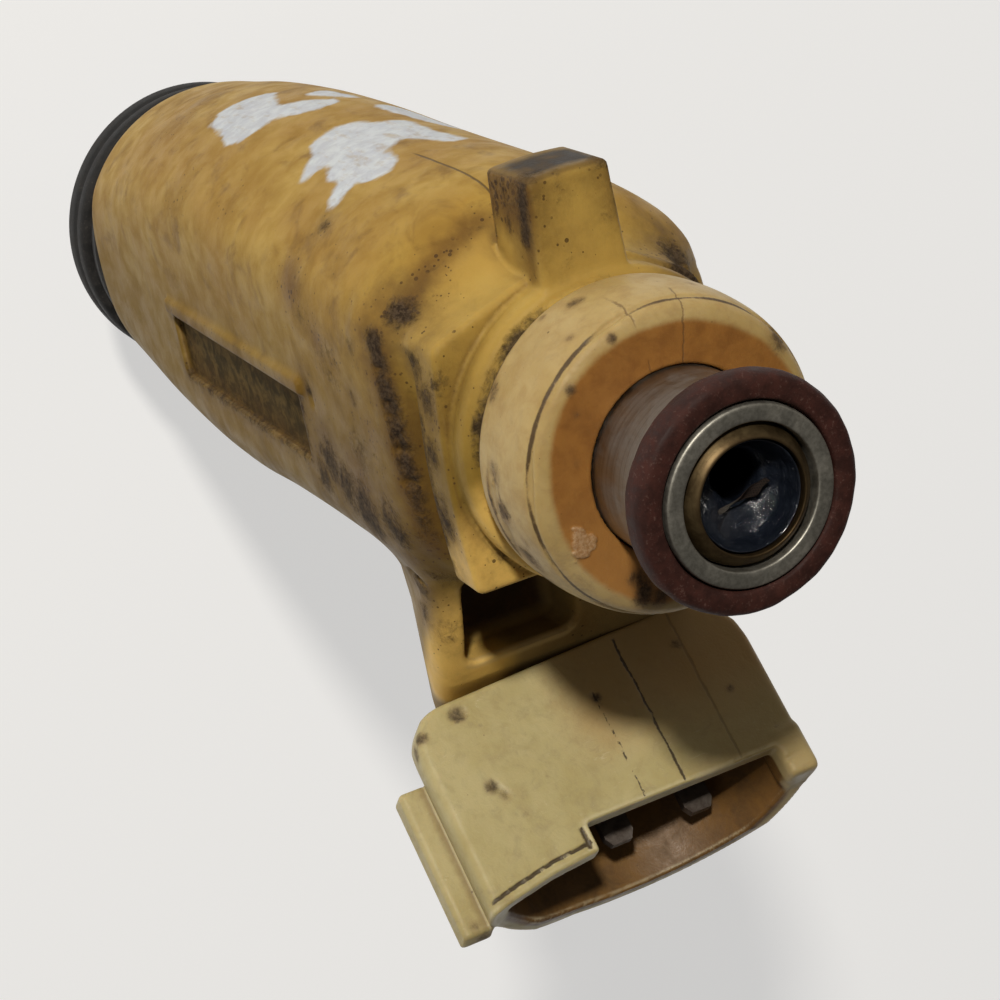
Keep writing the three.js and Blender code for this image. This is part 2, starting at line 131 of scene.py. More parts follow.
class Nodes:
    """A small helper that builds a material's node tree."""

    def __init__(self, name):
        self.mat = bpy.data.materials.new(name)
        self.mat.use_nodes = True
        self.t = self.mat.node_tree
        self.t.nodes.clear()
        self.out = self.t.nodes.new("ShaderNodeOutputMaterial")
        self.bsdf = self.t.nodes.new("ShaderNodeBsdfPrincipled")
        self.t.links.new(self.bsdf.outputs[0], self.out.inputs[0])
        tc = self.t.nodes.new("ShaderNodeTexCoord")
        sc = self.t.nodes.new("ShaderNodeVectorMath")
        sc.operation = "SCALE"
        sc.inputs[3].default_value = 1000.0
        self.t.links.new(tc.outputs["Object"], sc.inputs[0])
        self.p = sc.outputs[0]  # position in millimetres

    def link(self, a, b):
        if hasattr(a, "is_linked") or hasattr(a, "links"):
            self.t.links.new(a, b)
        else:
            b.default_value = a

    def math(self, op, a, b=None, c=None, clamp=False):
        n = self.t.nodes.new("ShaderNodeMath")
        n.operation = op
        n.use_clamp = clamp
        for i, v in enumerate((a, b, c)):
            if v is not None:
                self.link(v, n.inputs[i])
        return n.outputs[0]

    def vec(self, op, a, b=None):
        n = self.t.nodes.new("ShaderNodeVectorMath")
        n.operation = op
        self.link(a, n.inputs[0])
        if b is not None:
            self.link(b, n.inputs[1])
        return n.outputs[0]

    def scaled(self, sx, sy, sz, p=None):
        return self.vec("MULTIPLY", p or self.p, (sx, sy, sz))

    def noise(self, scale, detail=3.0, rough=0.55, distortion=0.0, p=None, seed=0.0):
        n = self.t.nodes.new("ShaderNodeTexNoise")
        n.noise_dimensions = "4D"
        self.link(p or self.p, n.inputs["Vector"])
        n.inputs["W"].default_value = seed
        n.inputs["Scale"].default_value = scale
        n.inputs["Detail"].default_value = detail
        n.inputs["Roughness"].default_value = rough
        n.inputs["Distortion"].default_value = distortion
        return n.outputs[0]

    def voronoi(self, scale, feature="F1", p=None, seed=0.0, randomness=1.0):
        n = self.t.nodes.new("ShaderNodeTexVoronoi")
        n.voronoi_dimensions = "4D"
        n.feature = feature
        self.link(p or self.p, n.inputs["Vector"])
        n.inputs["W"].default_value = seed
        n.inputs["Scale"].default_value = scale
        n.inputs["Randomness"].default_value = randomness
        return n.outputs["Distance"]

    def wave(self, scale, direction="Z", distortion=0.0, p=None, rings=False):
        n = self.t.nodes.new("ShaderNodeTexWave")
        n.wave_type = "RINGS" if rings else "BANDS"
        if rings:
            n.rings_direction = direction
        else:
            n.bands_direction = direction
        self.link(p or self.p, n.inputs["Vector"])
        n.inputs["Scale"].default_value = scale
        n.inputs["Distortion"].default_value = distortion
        n.inputs["Detail"].default_value = 2.0
        return n.outputs["Fac"]

    def step(self, v, lo, hi, out_lo=0.0, out_hi=1.0):
        n = self.t.nodes.new("ShaderNodeMapRange")
        n.interpolation_type = "SMOOTHSTEP"
        n.clamp = True
        self.link(v, n.inputs["Value"])
        n.inputs["From Min"].default_value = lo
        n.inputs["From Max"].default_value = hi
        n.inputs["To Min"].default_value = out_lo
        n.inputs["To Max"].default_value = out_hi
        return n.outputs[0]

    def attr(self, name):
        n = self.t.nodes.new("ShaderNodeAttribute")
        n.attribute_type = "GEOMETRY"
        n.attribute_name = name
        return n.outputs["Fac"]

    def mix(self, fac, a, b, mode="MIX"):
        n = self.t.nodes.new("ShaderNodeMix")
        n.data_type = "RGBA"
        n.blend_type = mode
        n.clamp_factor = True
        self.link(fac, n.inputs[0])
        for v, i in ((a, 6), (b, 7)):
            if isinstance(v, tuple) and len(v) == 3:
                v = (*v, 1.0)
            self.link(v, n.inputs[i])
        return n.outputs[2]

    def mixf(self, fac, a, b):
        n = self.t.nodes.new("ShaderNodeMix")
        n.data_type = "FLOAT"
        self.link(fac, n.inputs[0])
        self.link(a, n.inputs[2])
        self.link(b, n.inputs[3])
        return n.outputs[0]

    def bump(self, height, strength=0.3, distance=0.1, normal=None):
        n = self.t.nodes.new("ShaderNodeBump")
        n.inputs["Strength"].default_value = strength
        n.inputs["Distance"].default_value = distance * 0.001
        self.link(height, n.inputs["Height"])
        if normal is not None:
            self.link(normal, n.inputs["Normal"])
        return n.outputs[0]

    def position(self):
        n = self.t.nodes.new("ShaderNodeSeparateXYZ")
        self.link(self.p, n.inputs[0])
        return n.outputs[0], n.outputs[1], n.outputs[2]

    def finish(self, colour, roughness, normal=None, metallic=0.0, specular=0.5, subsurface=0.0, coat=0.0, coat_rough=0.1, ior=1.5):
        b = self.bsdf
        if isinstance(colour, tuple):
            colour = (*colour[:3], 1.0)
        self.link(colour, b.inputs["Base Color"])
        self.link(roughness, b.inputs["Roughness"])
        if normal is not None:
            self.link(normal, b.inputs["Normal"])
        self.link(metallic, b.inputs["Metallic"])
        b.inputs["Specular IOR Level"].default_value = specular
        b.inputs["IOR"].default_value = ior
        if subsurface:
            b.inputs["Subsurface Weight"].default_value = subsurface
            b.inputs["Subsurface Radius"].default_value = (1.0, 0.55, 0.22)
            b.inputs["Subsurface Scale"].default_value = 0.0011
        if coat:
            b.inputs["Coat Weight"].default_value = coat
            b.inputs["Coat Roughness"].default_value = coat_rough
        return self.mat


# =====================================================================================
# distance fields, in millimetres; negative inside
# =====================================================================================
# --- fields begin ---


def smin(a, b, k):
    h = np.clip(0.5 + 0.5 * (b - a) / k, 0.0, 1.0)
    return b + (a - b) * h - k * h * (1.0 - h)


def smax(a, b, k):
    return -smin(-a, -b, k)


def rbox2(u, v, cu, cv, hu, hv, r):
    du = np.abs(u - cu) - (hu - r)
    dv = np.abs(v - cv) - (hv - r)
    return np.hypot(np.maximum(du, 0), np.maximum(dv, 0)) + np.minimum(np.maximum(du, dv), 0) - r


def rbox3(x, y, z, c, h, r):
    dx = np.abs(x - c[0]) - (h[0] - r)
    dy = np.abs(y - c[1]) - (h[1] - r)
    dz = np.abs(z - c[2]) - (h[2] - r)
    out = np.sqrt(np.maximum(dx, 0) ** 2 + np.maximum(dy, 0) ** 2 + np.maximum(dz, 0) ** 2)
    return out + np.minimum(np.maximum(np.maximum(dx, dy), dz), 0) - r


def capsule(x, y, z, a, b, ra, rb=None):
    rb = ra if rb is None else rb
    ab = np.array(b, float) - np.array(a, float)
    t = ((x - a[0]) * ab[0] + (y - a[1]) * ab[1] + (z - a[2]) * ab[2]) / float(ab @ ab)
    t = np.clip(t, 0, 1)
    return np.sqrt((x - a[0] - t * ab[0]) ** 2 + (y - a[1] - t * ab[1]) ** 2 + (z - a[2] - t * ab[2]) ** 2) - (ra + (rb - ra) * t)


def smooth_path(points, closed=False, passes=2):
    """Corner cutting, so that a drawn outline has rounded corners."""
    p = np.array(points, float)
    for _ in range(passes):
        q = np.roll(p, -1, 0) if closed else p[1:]
        base = p if closed else p[:-1]
        a = base * 0.8 + q * 0.2
        b = base * 0.2 + q * 0.8
        m = np.empty((len(a) * 2, 2))
        m[0::2], m[1::2] = a, b
        p = m if closed else np.vstack([p[:1], m, p[-1:]])
    return p


class Outline:
    """The signed distance to a closed outline, kept as a table."""

    def __init__(self, points, lo, hi, step=0.08):
        p = np.array(points, float)
        self.lo, self.step = np.array(lo, float), step
        nu = int(math.ceil((hi[0] - lo[0]) / step)) + 1
        nv = int(math.ceil((hi[1] - lo[1]) / step)) + 1
        u = lo[0] + step * np.arange(nu)
        v = lo[1] + step * np.arange(nv)
        U, V = np.meshgrid(u, v, indexing="ij")
        best = np.full(U.shape, 1e9)
        sign = np.ones(U.shape)
        n = len(p)
        for i in range(n):
            a, b = p[i], p[i - 1]
            e = b - a
            wu, wv = U - a[0], V - a[1]
            t = np.clip((wu * e[0] + wv * e[1]) / max(float(e @ e), 1e-12), 0, 1)
            best = np.minimum(best, (wu - e[0] * t) ** 2 + (wv - e[1] * t) ** 2)
            c1 = V >= a[1]
            c2 = V < b[1]
            c3 = e[0] * wv > e[1] * wu
            flip = (c1 & c2 & c3) | (~c1 & ~c2 & ~c3)
            sign = np.where(flip, -sign, sign)
        self.d = (sign * np.sqrt(best)).astype(np.float32)
        self.nu, self.nv = nu, nv

    def __call__(self, u, v):
        gu = np.clip((u - self.lo[0]) / self.step, 0, self.nu - 1.001)
        gv = np.clip((v - self.lo[1]) / self.step, 0, self.nv - 1.001)
        iu, iv = gu.astype(np.int32), gv.astype(np.int32)
        fu, fv = gu - iu, gv - iv
        d = self.d
        return (d[iu, iv] * (1 - fu) + d[iu + 1, iv] * fu) * (1 - fv) + (d[iu, iv + 1] * (1 - fu) + d[iu + 1, iv + 1] * fu) * fv


def hull_poly(u, v, pts, k=0.4):
    """A convex outline drawn anticlockwise, with softened corners."""
    d = None
    n = len(pts)
    for i in range(n):
        (x0, y0), (x1, y1) = pts[i], pts[(i + 1) % n]
        l = math.hypot(x1 - x0, y1 - y0)
        nx, ny = (y1 - y0) / l, -(x1 - x0) / l
        e = (u - x0) * nx + (v - y0) * ny
        d = e if d is None else smax(d, e, k)
    return d


BODY_PROFILE = smooth_path([
    (0, 16.0), (9.6, 16.0), (10.35, 16.8), (10.85, 22), (11.45, 27), (11.85, 32), (12.15, 37), (12.2, 43), (11.9, 48),
    (11.75, 54), (11.7, 60), (11.62, 65), (11.3, 67.4), (10.6, 68.9), (9.7, 69.8), (8.6, 70.2), (0, 70.2),
], passes=2)
BODY = Outline(list(BODY_PROFILE) + [(-4, 70.2), (-4, 16.0)], (-1, 8), (19, 80))
NECK_PROFILE = [(0, 72.5), (8.2, 72.5), (8.28, 74.0), (8.32, 74.9), (8.22, 75.35), (7.95, 75.6), (7.6, 75.68), (7.55, 75.8), (7.55, 76.32), (0, 76.32), (-4, 76.32), (-4, 72.5)]
NECK = Outline(NECK_PROFILE, (-1, 66), (16, 82), 0.06)
yOf = lambda n, c: (n - c) * S2
zOf = lambda n, c: RZ + (n + c) * S2
BRIDGE_SIDE = smooth_path([
    (-4, 46.5), (-8, 48), (-11.5, 50.3), (-19, 54.6), (-21.9, 57.2), (yOf(-37.2, -5.5), zOf(-37.2, -5.5)), (yOf(-28.75, -5.5), zOf(-28.75, -5.5)),
    (-15.2, 64.6), (-13.2, 65.6), (-10.5, 66.4), (-6, 66.8), (-4, 66.8),
], closed=True, passes=1)
BRIDGE = Outline(BRIDGE_SIDE, (-40, 36), (10, 82))
PLATE_PTS = [(-8.3, -6.9), (8.3, -6.9), (8.8, -1.0), (8.2, 2.4), (6.4, 6.2), (2.5, 8.45), (-2.5, 8.45), (-8.25, 6.3), (-8.8, -1.0)]
SHELF_PTS = [(-7.95, 1.8), (7.95, 1.8), (7.5, 3.9), (6.4, 6.1), (2.4, 8.35), (-2.4, 8.35), (-8.0, 6.15)]


def f_housing(x, y, z):
    r = np.hypot(x, y - 0.45)
    ax = np.abs(x)
    d = BODY(r, z)
    d = smax(d, ax - 9.7, 1.1)
    # the far shoulder is a little lower
    d = smax(d, (x * 0.62 + y * 0.785) - 12.05, 1.6)
    # the sunk panel on each flat side, and the ridge above it
    pan = rbox2(y, z, -1.78, 44.6, 2.03, 11.2, 0.35)
    d = smax(d, -smax(pan, 9.22 - ax, 0.1), 0.16)
    rid = rbox3(ax, y, z, (9.55, 0.88, 45.0), (0.5, 0.46, 12.0), 0.2)
    d = smin(d, rid, 0.35)
    # the ridge's end has a small nick
    d = smax(d, -capsule(ax, y, z, (10.2, 2.2, 57.9), (9.95, 0.2, 58.1), 0.42), 0.15)
    # front plate, neck and shelf
    plate = smax(hull_poly(x, y, PLATE_PTS, 0.5), np.abs(z - 72.6) - 1.4, 0.28)
    neck = rbox3(x, y, z, (0, -0.25, 70.2), (7.5, 5.85, 1.4), 0.3)
    shelf = smax(hull_poly(x, y, SHELF_PTS, 0.6), np.abs(z - 70.0) - 1.8, 0.3)
    front = smin(smin(plate, neck, 0.25), shelf, 0.35)
    k = 0.35 + 2.3 * np.clip((y - 2.5) / 3.5, 0, 1)
    d = smin(d, front, k)
    # a rough crevice between the long body's flank and the plate
    rr = 0.36 + 0.12 * np.sin(y * 3.1 + 0.5) + 0.08 * np.sin(y * 7.3)
    cv = capsule(ax, y, z, (9.75, 6.3, 68.9), (9.55, 2.0, 69.75), 0.0)
    cv = np.minimum(cv, capsule(ax, y, z, (9.55, 2.0, 69.75), (9.3, -5.2, 70.1), 0.0)) - rr
    d = smax(d, -cv, 0.22)
    d = smin(d, NECK(np.hypot(x, y), z), 0.22)
    # locating peg with a slight draft
    w = 2.4 - (y - 8.0) * 0.03
    peg = smax(smax(np.abs(x + 0.08) - w, np.abs(z - 72.95) - 2.5 + (y - 8.0) * 0.02, 0.34), y - 13.47 + 0.05 * np.abs(x), 0.4)
    peg = np.maximum(peg, 6.0 - y)
    d = smin(d, peg, 0.24)
    # bridge to the socket
    hr = np.interp(z, [46, 50, 54, 58, 62.5, 68], [4.3, 4.95, 5.7, 7.0, 8.3, 8.3])
    hl = np.interp(z, [46, 50, 54, 58, 60.5, 62.5, 64.5, 68], [4.0, 4.35, 4.95, 6.3, 7.25, 7.75, 8.05, 8.2])
    br = smax(BRIDGE(y, z), np.where(x > 0, x - hr, -x - hl), 1.3)
    d = smin(d, br, 1.8)
    # pocket between the bridge's side walls, under the plate
    pocket = rbox3(x, y, z, (-2.95, -11.6, 66.0), (3.45, 3.2, 4.6), 0.9)
    d = smax(d, -pocket, 0.4)
    # ring-shaped moulding mark on the bridge's side
    rg = np.hypot(y + 9.4, z - 64.9)
    d = smax(d, -np.maximum(np.abs(np.hypot(rg - 1.05, (x + 8.45) * 0.8)) - 0.28, x + 5), 0.15)
    # bore for the solenoid, bore for the tube
    cav = smax(np.hypot(x, y) - 8.6, z - 51.6, 0.2)
    d = smax(d, -cav, 0.15)
    d = smax(d, -smax(np.hypot(x, y) - 4.9, 50.0 - z, 0.1), 0.1)
    # ways for the terminals and the carrier
    n, c = (y + z - RZ) * S2, (z - RZ - y) * S2
    sx = np.interp(c, [-14.5, -10.0], [0.0, 2.1])
    way = np.maximum(np.maximum(np.abs(np.abs(x - sx) - 2.6) - 1.12, np.abs(n + 33.4) - 0.7), np.maximum(-22.5 - c, c + 5))
    way = np.minimum(way, rbox3(ax, y, z, (2.6, -8.65, 50.7), (1.1, 1.65, 0.7), 0.05))
    way = np.minimum(way, np.maximum(np.maximum(np.abs(x - 2.1) - 4.3, np.abs(n + 33.4) - 2.2), -7.8 - c))
    d = np.maximum(d, -way)
    return d


COLLAR_PROFILE = smooth_path([
    (7.6, 76.4), (7.95, 76.55), (8.14, 77.1), (8.18, 79), (8.06, 80.6), (7.88, 81.4), (7.55, 81.88), (7.05, 82.1), (6.6, 82.13),
], passes=2)
CHIP = [(-6.3, -3.15), (-5.5, -2.95), (-4.95, -2.65), (-5.1, -2.05), (-5.75, -1.55), (-6.15, -1.3)]
COLLAR_LINE_R = lambda z: np.interp(z, [80.6, 81.4, 81.9, 82.1], [8.06, 7.88, 7.53, 7.05])
COLLAR = Outline(list(COLLAR_PROFILE) + [(4.74, 82.13), (4.74, 76.4)], (0, 72), (12, 86), 0.05)


def f_collar(x, y, z):
    r = np.hypot(x, y)
    d = COLLAR(r, z)
    # an old scar on the side
    for a, b, w, e in (((-8.62, 1.9, 78.4), (-8.52, -1.6, 78.1), 0.62, 0.5), ((-8.4, -1.9, 78.6), (-7.6, -4.3, 77.9), 0.6, 0.45)):
        d = smax(d, -capsule(x, y, z, a, b, w, e), 0.14)
    d = smin(d, capsule(x, y, z, (-8.02, 0.5, 78.3), (-7.9, -0.9, 78.1), 0.16, 0.1), 0.18)
    # moulded line just behind the front edge, deeper on one side
    ang = np.arctan2(y, -x)
    zl = 81.55 + 0.12 * np.sin(ang * 2 + 0.6)
    depth = 0.1 + 0.05 * np.sin(ang * 5 + 1) + 0.05 * np.sin(ang * 11)
    line = np.hypot(r - COLLAR_LINE_R(zl), z - zl) - np.maximum(depth, 0.02)
    d = smax(d, -line, 0.07)
    # small cuts and a chip on the front face
    d = smax(d, -capsule(x, y, z, (-2.75, 7.35, 82.1), (-2.2, 6.45, 82.35), 0.26, 0.16), 0.08)
    chip = np.maximum(hull_poly(x, y, CHIP, 0.05) + 0.12 * np.sin(x * 6 + y * 5) * np.sin(y * 9), np.abs(z - 82.13 - 0.02 * np.sin(x * 5)) - 0.07)
    return smin(d, chip, 0.03)


RIM_X = [-11.8, -10.4, -9.0, -6.3, -3.6, 0.0, 8.0, 10.8]
RIM_C = [7.25, 7.1, 6.75, 6.25, 6.0, 6.0, 6.1, 6.2]


def f_socket(x, y, z):
    n, c = (y + z - RZ) * S2, (z - RZ - y) * S2
    ax = np.abs(x)
    o = np.hypot(x, n + 27.0) - 11.1
    # the top wall: a low step along one line, and a shallow hollow beside it
    top = -28.6 - 0.05 / (1 + np.exp(-(x - 2.75) * 12)) - 0.07 * np.exp(-((x - 4.7) / 1.5) ** 4)
    o = smax(o, n - top, 0.9)
    o = smax(o, ax - 10.72, 0.9)
    w = np.interp(c, [-6, -5.5, -4.6, -3.6, -2.4, -1.0], [7.4, 7.9, 9.5, 10.4, 10.9, 11.6])
    o = smax(o, ax - w, 0.7)
    rim = np.interp(x, RIM_X, RIM_C)
    low = np.clip((-30.6 - n) / 3.5, 0, 1) * np.clip((x + 9.5) / 3.0, 0, 1)
    o = smax(o, c - rim - 0.85 * low, 0.22)
    o = smax(o, -5.35 - 0.05 * x - c, 0.3)
    rail = smax(rbox3(x, n, c, (-10.82, -32.5, 2.7), (0.9, 0.84, 4.6), 0.34), c - 7.25 + 0.25 * np.abs(n + 32.6), 0.2)
    o = smin(o, rail, 0.22)
    i = smax(np.hypot(x, n + 27.0) - 9.85, n + 29.92, 0.5)
    i = smax(i, ax - 9.35, 0.5)
    i = smax(i, -2.2 - c, 0.3)
    o = smax(o, -i, 0.18)
    notch = smax(smax(smax(np.abs(x - 2.65) - 6.2, 4.3 - c, 0.3), -30.7 - n, 0.1), n + 27, 0.1)
    o = smax(o, -notch, 0.14)
    # thick rounded lug at the far corner of the mouth
    lug = rbox3(x, n, c, (9.62, -29.95, 4.7), (0.95, 1.3, 1.5), 0.5)
    o = smin(o, lug, 0.35)
    cut = capsule(x, n, c, (8.75, -28.6, 5.25), (10.6, -28.2, 5.0), 0.16)
    o = smax(o, -cut, 0.12)
    # a thin moulded line follows the mouth's edge
    edge = np.maximum(np.abs(x + 3.98) - 0.05, np.abs(c - 5.1) - 0.55)
    along = np.where(x < -3.9, np.abs(c - rim + 0.62), 9.0)
    groove = np.minimum(np.maximum(edge, 0.0), along)
    o = smax(o, -np.maximum(groove - 0.09, np.abs(n - top) - 0.14), 0.06)
    hole = np.maximum(np.maximum(np.abs(x - 2.1) - 4.3, np.abs(n + 33.4) - 2.2), np.maximum(-7 - c, c + 1))
    o = np.maximum(o, -hole)
    # shallow pits and scuffs
    for a, b, r1, r2 in (((-7.75, -28.35, -4.05), (-7.2, -28.4, -4.1), 0.42, 0.34), ((0.2, -28.52, -2.3), (0.45, -28.52, -1.7), 0.18, 0.1),
                         ((-7.4, -28.45, 0.5), (-6.9, -28.5, 1.2), 0.3, 0.18)):
        o = smax(o, -capsule(x, n, c, a, b, r1, r2), 0.15)
    return o


# --- fields end ---


def surface(f, lo, hi, h):
    """The zero surface of a field as quads, by surface nets, then drawn onto the true surface."""
    lo = np.array(lo, float)
    n = np.ceil((np.array(hi, float) - lo) / h).astype(int) + 1
    B = 5
    nb = np.ceil(n / B).astype(int)
    n = nb * B
    # coarse pass: only blocks near the surface are worked out in full
    cx, cy, cz = [lo[i] + (np.arange(nb[i]) + 0.5) * B * h - 0.5 * h for i in range(3)]
    C = np.meshgrid(cx, cy, cz, indexing="ij")
    coarse = f(*[c.astype(np.float32) for c in C])
    near = np.abs(coarse) < B * h * 0.87 * 1.5 + 0.4
    full = np.repeat(np.repeat(np.repeat(coarse.astype(np.float32), B, 0), B, 1), B, 2)
    bi = np.argwhere(near)
    off = np.stack(np.meshgrid(*[np.arange(B)] * 3, indexing="ij"), -1).reshape(-1, 3)
    idx = (bi[:, None, :] * B + off[None]).reshape(-1, 3)
    P = (lo + idx * h).astype(np.float32)
    vals = np.empty(len(P), np.float32)
    for s in range(0, len(P), 400000):
        e = min(s + 400000, len(P))
        vals[s:e] = f(P[s:e, 0], P[s:e, 1], P[s:e, 2])
    full[idx[:, 0], idx[:, 1], idx[:, 2]] = vals
    F = full
    inside = F < 0
    cnt = np.zeros(np.array(F.shape) - 1, np.int8)
    corners = [(i, j, k) for i in (0, 1) for j in (0, 1) for k in (0, 1)]
    sl = lambda A, c: A[c[0]:A.shape[0] - 1 + c[0], c[1]:A.shape[1] - 1 + c[1], c[2]:A.shape[2] - 1 + c[2]]
    for c in corners:
        cnt += sl(inside, c)
    active = (cnt > 0) & (cnt < 8)
    ids = np.full(active.shape, -1, np.int64)
    cells = np.argwhere(active)
    ids[active] = np.arange(len(cells))
    pos = np.zeros((len(cells), 3))
    m = np.zeros(len(cells))
    val = {c: F[cells[:, 0] + c[0], cells[:, 1] + c[1], cells[:, 2] + c[2]].astype(float) for c in corners}
    for a in corners:
        for axis in range(3):
            if a[axis]:
                continue
            b = list(a)
            b[axis] = 1
            b = tuple(b)
            fa, fb = val[a], val[b]
            cross = (fa < 0) != (fb < 0)
            t = np.where(cross, fa / np.where(fa == fb, 1, fa - fb), 0)
            pt = np.array(a, float)[None] + t[:, None] * (np.array(b) - np.array(a))[None]
            pos += np.where(cross[:, None], pt, 0)
            m += cross
    verts = lo + (cells + pos / m[:, None]) * h
    quads = []
    for axis in range(3):
        o1, o2 = [(1, 2), (2, 0), (0, 1)][axis]
        a = inside[:-1, :-1, :-1] if True else None
        A = inside
        shp = A.shape
        s0 = [slice(1, shp[0] - 1), slice(1, shp[1] - 1), slice(1, shp[2] - 1)]
        s1 = list(s0)
        s1[axis] = slice(2, shp[axis])
        s0a = tuple(s0)
        s1a = tuple(s1)
        e0, e1 = A[s0a], A[s1a]
        diff = e0 != e1
        pts = np.argwhere(diff) + 1
        if not len(pts):
            continue
        sign = e0[diff]
        q = []
        for d1, d2 in ((0, 0), (-1, 0), (-1, -1), (0, -1)):
            c = pts.copy()
            c[:, o1] += d1
            c[:, o2] += d2
            q.append(ids[c[:, 0], c[:, 1], c[:, 2]])
        q = np.stack(q, 1)
        q[~sign] = q[~sign][:, ::-1]
        quads.append(q)
    quads = np.vstack(quads)
    quads = quads[(quads >= 0).all(1)]
    verts = settle(f, verts, h)
    return verts, quads


def gradient(f, v, e=0.03):
    g = np.empty_like(v)
    for i in range(3):
        a, b = v.copy(), v.copy()
        a[:, i] += e
        b[:, i] -= e
        g[:, i] = (f(a[:, 0], a[:, 1], a[:, 2]) - f(b[:, 0], b[:, 1], b[:, 2])) / (2 * e)
    return g


def settle(f, verts, h, rounds=2):
    v = verts.copy()
    for _ in range(rounds):
        d = f(v[:, 0], v[:, 1], v[:, 2])
        g = gradient(f, v)
        l2 = np.maximum((g * g).sum(1), 0.2)
        step = -(d / l2)[:, None] * g
        l = np.linalg.norm(step, axis=1)
        cap = 0.35 * h
        step *= np.minimum(1, cap / np.maximum(l, 1e-9))[:, None]
        v += step
    return v


def occlusion(f, v, g, reach):
    """How closed in each point is: 0 in the open, 1 deep in a corner."""
    n = g / np.maximum(np.linalg.norm(g, axis=1), 1e-6)[:, None]
    tot = np.zeros(len(v))
    for k in (0.3, 0.6, 1.0):
        q = v + n * reach * k
        tot += np.clip((reach * k - f(q[:, 0], q[:, 1], q[:, 2])) / (reach * k), 0, 1.5)
    return tot / 3


def sharpness(f, v, g, depth):
    """How much a point stands on an outer edge: 0 on a flat, towards 1 on an edge."""
    n = g / np.maximum(np.linalg.norm(g, axis=1), 1e-6)[:, None]
    q = v - n * depth
    return np.clip(1 + f(q[:, 0], q[:, 1], q[:, 2]) / depth, 0, 1)


def mesh_object(name, verts, faces, material, body, replaces=(), attrs=None, smooth=True):
    me = bpy.data.meshes.new(name)
    v = np.asarray(verts, np.float64) / 1000.0
    if isinstance(faces, np.ndarray):
        nv, nf, k = len(v), len(faces), faces.shape[1]
        me.vertices.add(nv)
        me.vertices.foreach_set("co", v.astype(np.float32).ravel())
        me.loops.add(nf * k)
        me.loops.foreach_set("vertex_index", faces.astype(np.int32).ravel())
        me.polygons.add(nf)
        me.polygons.foreach_set("loop_start", (np.arange(nf) * k).astype(np.int32))
        me.update(calc_edges=True)
        me.validate()
    else:
        me.from_pydata([tuple(p) for p in v], [], faces)
        me.update()
    for key, a in (attrs or {}).items():
        at = me.attributes.new(key, "FLOAT", "POINT")
        at.data.foreach_set("value", np.asarray(a, np.float32))
    if smooth:
        me.polygons.foreach_set("use_smooth", np.ones(len(me.polygons), bool))
    o = bpy.data.objects.new(name, me)
    scene.collection.objects.link(o)
    me.materials.append(material)
    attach(o, body)
    if replaces:
        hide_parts(*replaces)
    return o


# =====================================================================================
# pieces from fields
# =====================================================================================
def field_piece(name, f, lo, hi, h, material, replaces, masks=None, open_reach=(1.2, 5.0)):
    v, q = surface(f, lo, hi, h)
    g = gradient(f, v)
    attrs = {
        "corner": occlusion(f, v, g, open_reach[0]),
        "shade": occlusion(f, v, g, open_reach[1]),
        "edge": sharpness(f, v, g, 0.6),
    }
    if masks:
        attrs.update(masks(v, g))
    return mesh_object(name, v, q, material, "injector", replaces, attrs)


# =====================================================================================
# marks on the plastic, as fields on the points
# =====================================================================================
def spots(v, marks):
    """Soft blobs: (x, y, z, radius, strength)."""
    out = np.zeros(len(v))
    for x, y, z, r, s in marks:
        d2 = ((v[:, 0] - x) ** 2 + (v[:, 1] - y) ** 2 + (v[:, 2] - z) ** 2) / (r * r)
        out = np.maximum(out, s * np.exp(-d2))
    return out


def trails(v, paths):
    """Soft lines: (radius, strength, points)."""
    out = np.zeros(len(v))
    for r, s, pts in paths:
        best = np.full(len(v), 1e9)
        for a, b in zip(pts, pts[1:]):
            best = np.minimum(best, capsule(v[:, 0], v[:, 1], v[:, 2], a, b, 0.0))
        out = np.maximum(out, s * np.exp(-(best / r) ** 2))
    return out


# abstract dabs of white marking paint on the body's top: thick strokes as (radius at start, radius at end, start, end)
DAUBS = [
    (2.3, 2.0, (-2.8, 12.1, 35.2), (-3.8, 11.8, 39.6)),
    (1.5, 1.2, (-2.2, 12.1, 40.2), (-0.3, 12.5, 42.4)),
    (0.9, 0.7, (1.3, 12.4, 38.8), (1.9, 12.3, 41.6)),
    (2.2, 2.0, (-1.9, 12.1, 50.2), (-2.5, 11.9, 54.2)),
    (1.7, 1.2, (-3.4, 11.7, 55.2), (-3.3, 11.7, 58.0)),
    (1.4, 0.8, (0.4, 12.3, 51.2), (1.4, 12.1, 57.6)),
    (1.1, 0.6, (-3.9, 11.5, 51.6), (-5.4, 10.8, 52.2)),
    (1.1, 0.6, (-4.3, 11.3, 56.6), (-5.9, 10.5, 58.0)),
    (1.4, 0.9, (3.2, 12.0, 46.0), (3.9, 11.6, 51.6)),
]


